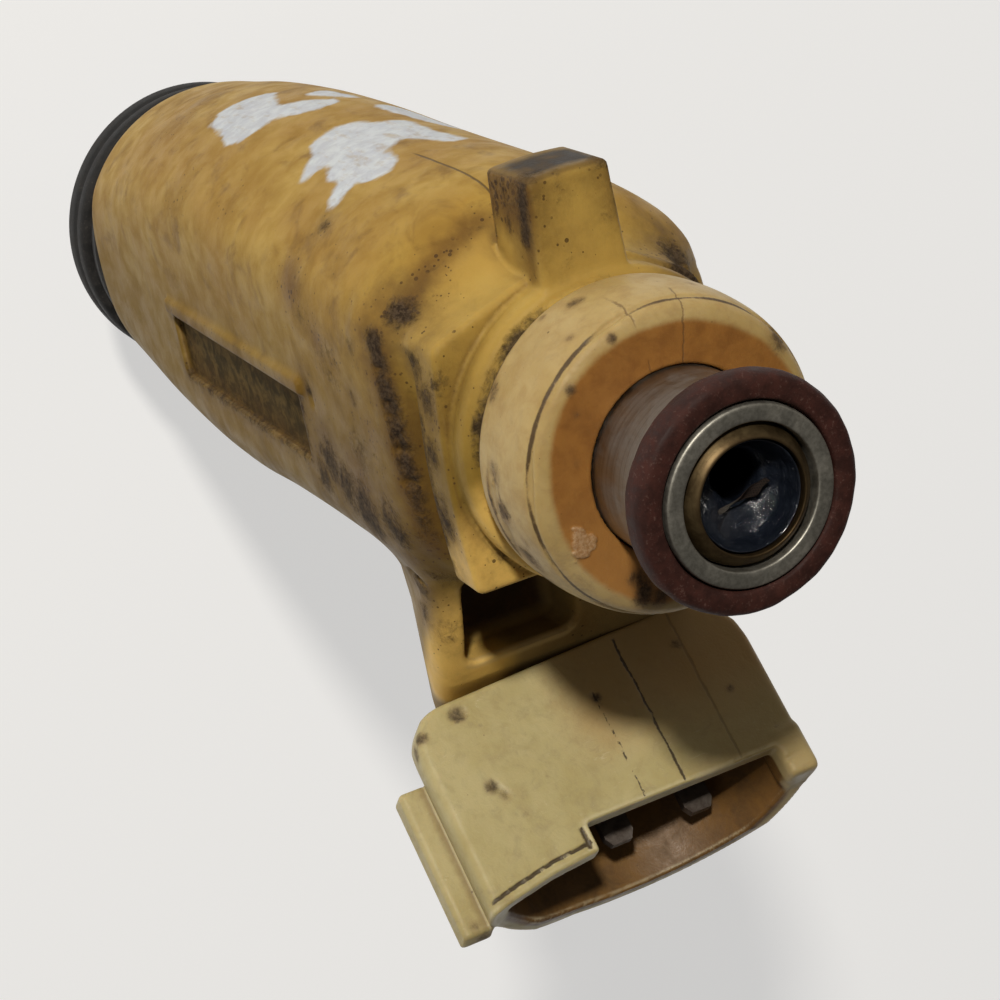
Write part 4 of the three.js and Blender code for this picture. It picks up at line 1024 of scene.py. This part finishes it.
def socket_plastic():
    n = Nodes("socket_plastic")
    x, nn, cc = plane_coords(n)
    big = n.noise(0.20, 3, 0.6, seed=41.0)
    mid = n.noise(0.8, 5, 0.65, 0.4, seed=42.0)
    fine = n.noise(6.0, 4, 0.65, seed=43.0)
    col = n.mix(n.step(big, 0.35, 0.65), (0.42, 0.345, 0.150), (0.49, 0.415, 0.205))
    col = n.mix(n.step(mid, 0.44, 0.74, 0.0, 0.45), col, (0.32, 0.245, 0.095))
    film = n.noise(0.6, 6, 0.74, 1.6, seed=40.5)
    col = n.mix(n.step(film, 0.48, 0.74, 0.0, 0.42), col, (0.27, 0.215, 0.115))
    scuff = n.noise(1.2, 5, 0.75, 2.5, p=n.scaled(0.5, 1.4, 1.4), seed=40.7)
    col = n.mix(n.step(scuff, 0.60, 0.72, 0.0, 0.40), col, (0.66, 0.60, 0.42))
    # browner towards the far side
    far = n.step(x, 1.0, 7.0)
    col = n.mix(n.math("MULTIPLY", far, 0.50), col, (0.34, 0.225, 0.100))
    side = n.math("MULTIPLY", n.step(x, -8.6, -10.2), n.step(nn, -29.2, -30.6))
    col = n.mix(n.math("MULTIPLY", side, 0.12), col, (0.33, 0.25, 0.13))
    # dirt and painted shade: darker brown in hollows and corners, by how closed in each point is
    corner = n.attr("corner")
    corner_dirt_and_shade = ragged(n, corner, 0.30, 0.95, 0.5, 2.5, 44.0)
    col = n.mix(n.math("MULTIPLY", corner_dirt_and_shade, 0.55), col, (0.17, 0.10, 0.035))
    # painted shade: the inside of the mouth painted dark orange-brown
    mouth_shade = n.attr("inside")
    mouth_shade_col = n.mix(n.step(mid, 0.35, 0.7), (0.150, 0.066, 0.013), (0.085, 0.036, 0.008))
    col = n.mix(n.math("MULTIPLY", mouth_shade, 0.93), col, mouth_shade_col)
    edge = ragged(n, n.attr("edge"), 0.42, 0.85, 0.35, 1.6, 45.0)
    col = n.mix(n.math("MULTIPLY", edge, 0.5), col, (0.66, 0.58, 0.37))
    # painted shadow: a brown tint on the top wall where the inlet's shadow falls, behind and under the inlet
    br = n.math("MULTIPLY", n.step(n.math("MULTIPLY_ADD", mid, 3.0, cc), 4.6, -0.5), n.step(x, -3.6, 0.5))
    col = n.mix(n.math("MULTIPLY", n.math("MULTIPLY", br, n.step(nn, -30.5, -29.2)), 0.62), col, (0.34, 0.185, 0.058))
    # mould lines along the top wall
    lo = n.step(nn, -29.05, -28.85)
    wob = n.math("MULTIPLY", n.math("SUBTRACT", n.noise(0.7, 5, 0.7, seed=46.0), 0.5), 0.42)
    xw = n.math("ADD", x, wob)
    wide = n.math("MULTIPLY", n.math("SUBTRACT", n.noise(1.7, 4, 0.7, seed=46.5), 0.5), 0.22)
    l1 = n.step(n.math("ADD", n.math("ABSOLUTE", n.math("SUBTRACT", xw, 2.78)), wide), 0.115, 0.035)
    l1 = n.math("MULTIPLY", l1, n.step(n.noise(1.3, 3, seed=47.0), 0.26, 0.40))
    l2 = n.step(n.math("ADD", n.math("ABSOLUTE", n.math("SUBTRACT", xw, 0.22)), wide), 0.085, 0.025)
    l2 = n.math("MULTIPLY", l2, n.step(n.noise(2.3, 3, seed=48.0), 0.47, 0.56))
    l3 = n.step(n.math("ABSOLUTE", n.math("SUBTRACT", xw, 6.45)), 0.12, 0.03)
    l3 = n.math("MULTIPLY", l3, 0.35)
    ends = n.math("MULTIPLY", n.step(cc, 4.25, 4.1), lo)
    l2 = n.math("MULTIPLY", l2, n.step(cc, -2.6, -2.3))
    l1 = n.math("MULTIPLY", l1, n.step(cc, -5.1, -4.9))
    lines = n.math("MULTIPLY", n.math("MAXIMUM", l1, n.math("MAXIMUM", l2, l3)), ends)
    lm = ragged(n, n.attr("line"), 0.36, 0.66, 0.34, 1.6, 49.0)
    lines = n.math("MAXIMUM", lines, lm)
    vor = n.voronoi(1.1, seed=50.0)
    speck = n.math("MULTIPLY", n.math("LESS_THAN", vor, 0.075), n.step(n.noise(0.5, 2, seed=51.0), 0.50, 0.58))
    vor2 = n.voronoi(3.2, seed=52.0)
    speck2 = n.math("MULTIPLY", n.math("LESS_THAN", vor2, 0.09), n.step(n.noise(0.8, 2, seed=53.0), 0.52, 0.62))
    col = n.mix(n.math("MULTIPLY", n.math("MAXIMUM", speck, speck2), 0.6), col, (0.10, 0.055, 0.022))
    dark = n.attr("dark")
    halo = ragged(n, dark, 0.14, 0.8, 0.5, 0.9, 54.0)
    col = n.mix(n.math("MULTIPLY", halo, 0.5), col, (0.24, 0.155, 0.070))
    dm = broken(n, n.math("MULTIPLY", dark, 0.92), 55.0)
    dcol = n.mix(n.step(fine, 0.4, 0.65), (0.030, 0.019, 0.012), (0.12, 0.085, 0.05))
    col = n.mix(n.math("MULTIPLY", dm, 0.85), col, dcol)
    col = n.mix(n.math("MULTIPLY", lines, 0.9), col, (0.045, 0.028, 0.016))
    rough = n.step(mid, 0.3, 0.7, 0.38, 0.58)
    rough = n.mixf(dm, rough, 0.75)
    h = n.math("MULTIPLY_ADD", fine, 0.3, n.math("MULTIPLY", mid, 0.9))
    h = n.math("MULTIPLY_ADD", dm, 0.5, h)
    h = n.math("MULTIPLY_ADD", lines, -0.9, h)
    h = n.math("MULTIPLY_ADD", n.noise(1.4, 4, 0.7, 1.0, seed=56.0), 0.4, h)
    return n.finish(col, rough, n.bump(h, 0.42, 0.10), subsurface=0.15, specular=0.30)


def turned_metal(name, dark, light, rough=(0.22, 0.38), tarnish=(0.20, 0.13, 0.08), amount=0.3, seed=60.0, rings=7.0, lip=None):
    """Turned metal: fine circular tool marks round Z, tarnish in patches."""
    n = Nodes(name)
    x, y, z = n.position()
    r = n.math("SQRT", n.math("ADD", n.math("MULTIPLY", x, x), n.math("MULTIPLY", y, y)))
    comb = n.t.nodes.new("ShaderNodeCombineXYZ")
    n.link(n.math("MULTIPLY", r, rings), comb.inputs[0])
    n.link(n.math("MULTIPLY", z, rings), comb.inputs[1])
    marks = n.noise(1.0, 4, 0.7, p=comb.outputs[0], seed=seed)
    mid = n.noise(0.5, 5, 0.65, 0.6, seed=seed + 1)
    fine = n.noise(4.0, 4, 0.7, seed=seed + 2)
    col = n.mix(n.step(marks, 0.3, 0.7), dark, light)
    t = n.step(n.math("ADD", mid, n.math("MULTIPLY", fine, 0.15)), 0.45, 0.85)
    col = n.mix(n.math("MULTIPLY", t, amount), col, tarnish)
    ro = n.step(marks, 0.25, 0.75, rough[0], rough[1])
    ro = n.math("MULTIPLY_ADD", t, 0.22, ro)
    if lip is not None:
        at_lip = n.step(z, lip, lip + 0.3)
        col = n.mix(n.math("MULTIPLY", at_lip, 0.75), col, n.mix(n.step(fine, 0.35, 0.65), (0.30, 0.29, 0.245), (0.46, 0.445, 0.385)))
        ro = n.mixf(at_lip, ro, 0.50)
    h = n.math("MULTIPLY_ADD", marks, 1.0, n.math("MULTIPLY", fine, 0.3))
    return n.finish(col, ro, n.bump(h, 0.22, 0.03), metallic=n.math("MULTIPLY_ADD", t, -0.25, 1.0))


def rubber(name, a, b, seed, rough=(0.55, 0.8), dust=(0.20, 0.13, 0.10), dust_amount=0.35):
    n = Nodes(name)
    mid = n.noise(1.1, 5, 0.65, 0.3, seed=seed)
    fine = n.noise(7.5, 3, 0.6, seed=seed + 1)
    col = n.mix(n.step(mid, 0.35, 0.68), a, b)
    grains = n.math("MULTIPLY", n.step(fine, 0.56, 0.68), n.step(mid, 0.35, 0.6))
    col = n.mix(n.math("MULTIPLY", grains, dust_amount), col, dust)
    ro = n.step(mid, 0.3, 0.7, rough[0], rough[1])
    h = n.math("MULTIPLY_ADD", fine, 0.8, n.math("MULTIPLY", mid, 0.5))
    return n.finish(col, ro, n.bump(h, 0.5, 0.06), specular=0.22)


def brass():
    n = Nodes("filter_brass")
    x, y, z = n.position()
    mid = n.noise(0.9, 5, 0.65, 0.5, seed=80.0)
    fine = n.noise(6.0, 3, 0.6, seed=81.0)
    r = n.math("SQRT", n.math("ADD", n.math("MULTIPLY", x, x), n.math("MULTIPLY", y, y)))
    ringn = n.noise(9.0, 3, 0.7, p=n.scaled(0.0, 0.0, 1.0), seed=82.0)
    col = n.mix(n.step(mid, 0.35, 0.7), (0.085, 0.056, 0.025), (0.165, 0.118, 0.056))
    inner = n.step(r, 3.05, 2.80)
    col = n.mix(n.math("MULTIPLY", inner, 0.55), col, (0.075, 0.045, 0.020))
    col = n.mix(n.math("MULTIPLY", n.step(fine, 0.58, 0.7), 0.3), col, (0.10, 0.06, 0.03))
    ro = n.math("MULTIPLY_ADD", mid, 0.30, 0.32)
    return n.finish(col, ro, n.bump(n.math("ADD", fine, ringn), 0.2, 0.03), metallic=0.9)


def wet_plastic():
    n = Nodes("filter_plastic")
    mid = n.noise(1.2, 5, 0.65, 0.8, seed=85.0)
    fine = n.noise(5.0, 3, 0.6, seed=86.0)
    z = n.position()[2]
    col = n.mix(n.step(mid, 0.4, 0.75), (0.006, 0.008, 0.013), (0.016, 0.020, 0.029))
    # painted shade: the funnel's deep hole painted near-black below its rim
    col = n.mix(n.step(z, 86.45, 85.6), col, (0.001, 0.001, 0.0015))
    ro = n.step(mid, 0.3, 0.7, 0.05, 0.15)
    h = n.math("MULTIPLY_ADD", fine, 0.12, mid)
    return n.finish(col, ro, n.bump(h, 0.8, 0.25), specular=0.42, coat=0.32, coat_rough=0.04)


def torn_mesh():
    n = Nodes("torn_filter_mesh")
    w1 = n.wave(3.2, "X", 0.6)
    w2 = n.wave(3.2, "Y", 0.6)
    mid = n.noise(1.4, 4, 0.6, seed=88.0)
    grid = n.math("MAXIMUM", w1, w2)
    x = n.position()[0]
    col = n.mix(n.step(grid, 0.3, 0.9), (0.005, 0.004, 0.0035), (0.020, 0.013, 0.010))
    col = n.mix(n.step(mid, 0.48, 0.72, 0.0, 0.6), col, (0.022, 0.009, 0.005))
    col = n.mix(n.step(x, 0.5, -0.6, 0.0, 0.7), col, (0.060, 0.054, 0.046))
    return n.finish(col, n.step(mid, 0.3, 0.7, 0.75, 0.95), n.bump(grid, 0.4, 0.05), specular=0.12)


def tin():
    n = Nodes("tinned_terminal")
    mid = n.noise(1.0, 5, 0.65, 0.5, seed=90.0)
    fine = n.noise(5.0, 4, 0.7, p=n.scaled(4.0, 0.7, 0.7), seed=91.0)
    col = n.mix(n.step(mid, 0.4, 0.7), (0.125, 0.105, 0.090), (0.060, 0.045, 0.035))
    ro = n.step(fine, 0.3, 0.7, 0.42, 0.62)
    return n.finish(col, ro, n.bump(n.math("ADD", mid, fine), 0.3, 0.05), metallic=0.85)


def dull_plastic(name, a, b, seed, rough=(0.4, 0.6)):
    n = Nodes(name)
    mid = n.noise(0.9, 5, 0.65, 0.3, seed=seed)
    fine = n.noise(6.0, 3, 0.6, seed=seed + 1)
    col = n.mix(n.step(mid, 0.35, 0.7), a, b)
    fib = n.noise(3.0, 3, 0.7, p=n.scaled(1.0, 5.0, 1.0), seed=seed + 2)
    col = n.mix(n.step(fib, 0.60, 0.72, 0.0, 0.25), col, tuple(min(1, v * 2.4 + 0.02) for v in b))
    ro = n.step(mid, 0.3, 0.7, rough[0], rough[1])
    return n.finish(col, ro, n.bump(n.math("ADD", mid, fine), 0.35, 0.06), specular=0.45)


def copper_wire():
    n = Nodes("magnet_wire")
    mid = n.noise(0.8, 4, 0.6, seed=97.0)
    turns = n.wave(1.6, "Z", 0.2)
    col = n.mix(n.step(turns, 0.1, 0.9), (0.16, 0.055, 0.018), (0.52, 0.23, 0.09))
    col = n.mix(n.step(mid, 0.5, 0.75, 0.0, 0.35), col, (0.20, 0.07, 0.02))
    return n.finish(col, n.step(mid, 0.3, 0.7, 0.22, 0.4), n.bump(turns, 0.6, 0.15), metallic=0.8, coat=0.3, coat_rough=0.15)


MAT = {
    "body_plastic": body_plastic(),
    "collar_plastic": collar_plastic(),
    "socket_plastic": socket_plastic(),
    "tinned_terminal": tin(),
    "stainless": turned_metal("stainless", (0.235, 0.215, 0.19), (0.34, 0.32, 0.285), (0.28, 0.42), (0.13, 0.080, 0.055), 0.55, 60.0, lip=87.6),
    "oxide_rubber": rubber("oxide_rubber", (0.028, 0.0095, 0.0070), (0.054, 0.0165, 0.0115), 70.0, dust=(0.13, 0.075, 0.06), dust_amount=0.5),
    "filter_brass": brass(),
    "filter_plastic": wet_plastic(),
    "spring_steel": turned_metal("spring_steel", (0.34, 0.34, 0.35), (0.55, 0.55, 0.55), (0.2, 0.35), (0.2, 0.15, 0.12), 0.2, 62.0),
    "magnetic_steel": turned_metal("magnetic_steel", (0.26, 0.26, 0.265), (0.42, 0.42, 0.43), (0.25, 0.42), (0.17, 0.12, 0.09), 0.3, 64.0),
    "bobbin_plastic": dull_plastic("bobbin_plastic", (0.022, 0.022, 0.023), (0.045, 0.044, 0.043), 94.0),
    "magnet_wire": copper_wire(),
    "black_rubber": rubber("black_rubber", (0.012, 0.012, 0.012), (0.030, 0.028, 0.027), 74.0, dust=(0.10, 0.085, 0.07), dust_amount=0.3),
    "carrier": dull_plastic("carrier_plastic", (0.10, 0.058, 0.022), (0.155, 0.095, 0.040), 98.0),
    "torn": torn_mesh(),
}

# =====================================================================================
# pieces
# =====================================================================================
H = 0.2
field_piece("moulded_body", f_housing, (-11, -24, 15), (11, 14.5, 77), H, MAT["body_plastic"], ("main_housing",), body_marks)
field_piece("front_collar", f_collar, (-9, -9, 75.8), (9, 9, 82.8), H * 0.6, MAT["collar_plastic"], ("inlet_collar",), collar_marks)
field_piece("socket", f_socket, (-12.6, -32.8, 56), (12, -14, 76.5), H * 0.75, MAT["socket_plastic"], ("connector_shell",), socket_marks)


def turned_piece(name, profile, material, replaces, seg=144, closed=True, passes=2, wobble=None, body="injector"):
    """A turned piece from its profile of (radius, z), with rounded corners."""
    p = smooth_path(profile, closed=closed, passes=passes)
    th = np.linspace(0, 2 * np.pi, seg, endpoint=False)
    n = len(p)
    ca, sa = np.cos(th), np.sin(th)
    R = np.repeat(p[None, :, 0], seg, 0)
    Z = np.repeat(p[None, :, 1], seg, 0)
    if wobble is not None:
        dr, dz = wobble(np.repeat(th[:, None], n, 1), R, Z)
        R, Z = R + dr, Z + dz
    v = np.stack([R * ca[:, None], R * sa[:, None], Z], -1).reshape(-1, 3)
    i, j = np.meshgrid(np.arange(seg), np.arange(n if closed else n - 1), indexing="ij")
    i, j = i.ravel(), j.ravel()
    i2, j2 = (i + 1) % seg, (j + 1) % n
    q = np.stack([i * n + j, i2 * n + j, i2 * n + j2, i * n + j2], 1)
    return mesh_object(name, v, q, material, body, replaces)


def oring_wobble(th, R, Z):
    k = 0.012 * np.sin(th * 7 + 1) + 0.010 * np.sin(th * 13 + Z * 5) + 0.008 * np.sin(th * 29 + R * 9)
    return k * (R > 4.6), 0.012 * np.sin(th * 9 + R * 4) * (R > 4.6)


turned_piece("inlet_seal", [
    (4.05, 86.86), (4.9, 86.82), (5.35, 86.86), (5.62, 87.12), (5.76, 87.5), (5.8, 88.0), (5.76, 88.3), (5.62, 88.58), (5.4, 88.70),
    (5.0, 88.74), (4.62, 88.70), (4.5, 88.55), (4.46, 88.12), (4.05, 88.05),
], MAT["oxide_rubber"], ("inlet_oring",), passes=2, wobble=oring_wobble, seg=192)

turned_piece("polished_inlet_tube", [
    (2.0, 40.0), (3.6, 40.0), (3.6, 41.7), (4.66, 41.7), (4.66, 60.0), (4.66, 78.0), (4.66, 83.0), (4.66, 86.3), (4.66, 86.7), (4.0, 86.75), (3.95, 87.0), (3.95, 88.1),
    (4.34, 88.16), (4.39, 88.3), (4.39, 88.62), (4.33, 88.74), (4.2, 88.78), (3.9, 88.78), (3.66, 88.78), (3.56, 88.76), (3.5, 88.66), (3.5, 88.0), (3.5, 79.0), (3.5, 78.0), (2.0, 77.0), (2.0, 76.0),
], MAT["stainless"], ("inlet_tube",), passes=1, seg=160)

turned_piece("rolled_brass_collar", [
    (2.78, 85.55), (2.95, 85.5), (3.36, 85.5), (3.42, 85.6), (3.42, 87.95), (3.40, 88.18), (3.28, 88.44), (3.08, 88.69), (2.92, 88.84), (2.81, 88.893), (2.74, 88.87), (2.73, 88.72), (2.78, 88.4),
], MAT["filter_brass"], ("filter_collar",), passes=2, seg=144)

_fb_lo, _fb_hi = mm_box("filter_basket")


def funnel_wobble(th, R, Z):
    k = np.clip((Z - 84.5) / 3.0, 0, 1) * (Z < 88.0)
    well = ((R < 1.75) | ((Z > 86.65) & (R < 2.3))) * np.clip((Z - 78.5) / 2, 0, 1) * np.clip((2.35 - R) / 0.9, 0, 1)
    return 0.05 * k * np.sin(th * 3 + 0.7) + 0.025 * k * np.sin(th * 8 + Z * 2) + 0.62 * well * np.cos(th - 0.55), 0 * R


turned_piece("filter_funnel", [
    (0.0, _fb_lo[2] + 0.02), (1.6, _fb_lo[2] + 0.02), (1.95, _fb_lo[2] + 0.3), (2.0, 80.0), (2.1, 84.6), (2.66, 86.6), (2.70, 88.1), (2.69, 88.52), (2.63, 88.64), (2.56, 88.56), (2.48, 88.15),
    (2.40, 87.75), (2.28, 87.45), (1.95, 87.14), (1.62, 86.88), (1.34, 86.66), (1.18, 86.42), (1.13, 85.9), (1.12, 84.0), (1.12, 80.0), (1.1, 77.4), (0.0, 77.3),
], MAT["filter_plastic"], ("filter_basket",), closed=False, passes=2, wobble=funnel_wobble, seg=128)


def torn_flap():
    """A loose flap of the torn filter mesh, stuck across the funnel."""
    rng = np.random.default_rng(7)
    pts, faces = [], []
    nu, nv = 26, 12
    a, b = np.array([-0.95, -0.95, 87.0]), np.array([1.75, -0.10, 87.2])
    side = np.array([0.25, -0.80, 0.12])
    for i in range(nu):
        t = i / (nu - 1)
        w = (0.07 + 0.62 * t ** 1.2) * (0.85 + 0.22 * np.sin(t * 13)) * min(1, (1 - t) * 3.0 + 0.12)
        for j in range(nv):
            s = j / (nv - 1) - 0.35
            p = a + (b - a) * t + side * s * w * 1.5
            p[2] += 0.14 * np.sin(t * 6 + s * 3) + 0.12 * np.sin(t * 19) * (s + 0.2) + rng.normal(0, 0.012)
            r = math.hypot(p[0], p[1])
            lim = 1.98
            if r > lim:
                p[0] *= lim / r
                p[1] *= lim / r
            pts.append(p)
    up = np.array([-0.3, 0.35, 0.9]) * 0.045
    n = len(pts)
    pts = pts + [p - up for p in pts]
    at = lambda i, j, k=0: i * nv + j + k * n
    for i in range(nu - 1):
        for j in range(nv - 1):
            faces.append((at(i, j), at(i + 1, j), at(i + 1, j + 1), at(i, j + 1)))
            faces.append((at(i, j, 1), at(i, j + 1, 1), at(i + 1, j + 1, 1), at(i + 1, j, 1)))
    for i in range(nu - 1):
        faces.append((at(i, 0), at(i, 0, 1), at(i + 1, 0, 1), at(i + 1, 0)))
        faces.append((at(i, nv - 1), at(i + 1, nv - 1), at(i + 1, nv - 1, 1), at(i, nv - 1, 1)))
    for j in range(nv - 1):
        faces.append((at(0, j), at(0, j + 1), at(0, j + 1, 1), at(0, j, 1)))
        faces.append((at(nu - 1, j), at(nu - 1, j, 1), at(nu - 1, j + 1, 1), at(nu - 1, j + 1)))
    mesh_object("torn_filter_flap", np.array(pts), faces, MAT["torn"], "injector")


torn_flap()

# lower end, turned pieces with rounded edges
turned_piece("insulator", [
    (7.12, 10.42), (9.7, 10.42), (9.98, 10.62), (10.1, 11.0), (10.1, 12.1), (9.9, 12.5), (9.9, 12.8), (10.1, 13.1), (10.1, 13.9), (9.98, 14.2), (9.7, 14.38), (7.12, 14.38),
], MAT["black_rubber"], ("insulator_ring",), passes=2, seg=160)
turned_piece("tip_seal", [
    (4.97, 6.62), (5.9, 6.6), (6.45, 6.85), (6.72, 7.3), (6.75, 7.6), (6.68, 8.0), (6.4, 8.35), (5.9, 8.5), (4.97, 8.48),
], MAT["oxide_rubber"], ("tip_seal_ring",), passes=2, seg=144, wobble=oring_wobble)
turned_piece("backing_washer", [
    (7.12, 14.57), (9.35, 14.57), (9.48, 14.66), (9.5, 14.8), (9.5, 15.15), (9.46, 15.28), (9.3, 15.34), (7.12, 15.34),
], MAT["bobbin_plastic"], ("backup_ring",), passes=2, seg=144)

SLOT_OF = {
    "terminal_carrier": ("carrier", "socket_plastic"), "terminal_pin_a": ("tinned_terminal", None), "terminal_pin_b": ("tinned_terminal", None),
    "adjusting_sleeve": ("stainless", None), "return_spring": ("spring_steel", None), "armature": ("magnetic_steel", None), "needle_valve": ("stainless", None),
    "coil_bobbin": ("bobbin_plastic", None), "coil_winding": ("magnet_wire", None), "solenoid_can": ("magnetic_steel", None), "magnet_washer": ("magnetic_steel", None),
    "nonmagnetic_ring": ("stainless", None), "bobbin_oring_upper": ("black_rubber", None), "bobbin_oring_lower": ("black_rubber", None),
    "lower_housing": ("magnetic_steel", None), "lift_stop_plate": ("stainless", None), "nozzle_body": ("stainless", None), "orifice_plate": ("stainless", None),
    "nozzle_cap": ("bobbin_plastic", None),
}
for node, (key, _) in SLOT_OF.items():
    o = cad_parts[node]
    o.data.materials.clear()
    o.data.materials.append(MAT[key])

floor = bpy.data.meshes.new("floor")
floor.from_pydata([(-3, -3, -0.0004), (3, -3, -0.0004), (3, 3, -0.0004), (-3, 3, -0.0004)], [], [(0, 1, 2, 3)])
floor_o = bpy.data.objects.new("floor", floor)
scene.collection.objects.link(floor_o)
fm = Nodes("floor")
_fn = fm.noise(0.004, 3)
fm.finish(fm.mix(_fn, (0.40, 0.40, 0.395), (0.43, 0.43, 0.43)), 0.9, specular=0.1)
fm.bsdf.inputs["Emission Color"].default_value = (1.0, 0.995, 0.985, 1.0)
fm.bsdf.inputs["Emission Strength"].default_value = 0.56
floor.materials.append(fm.mat)
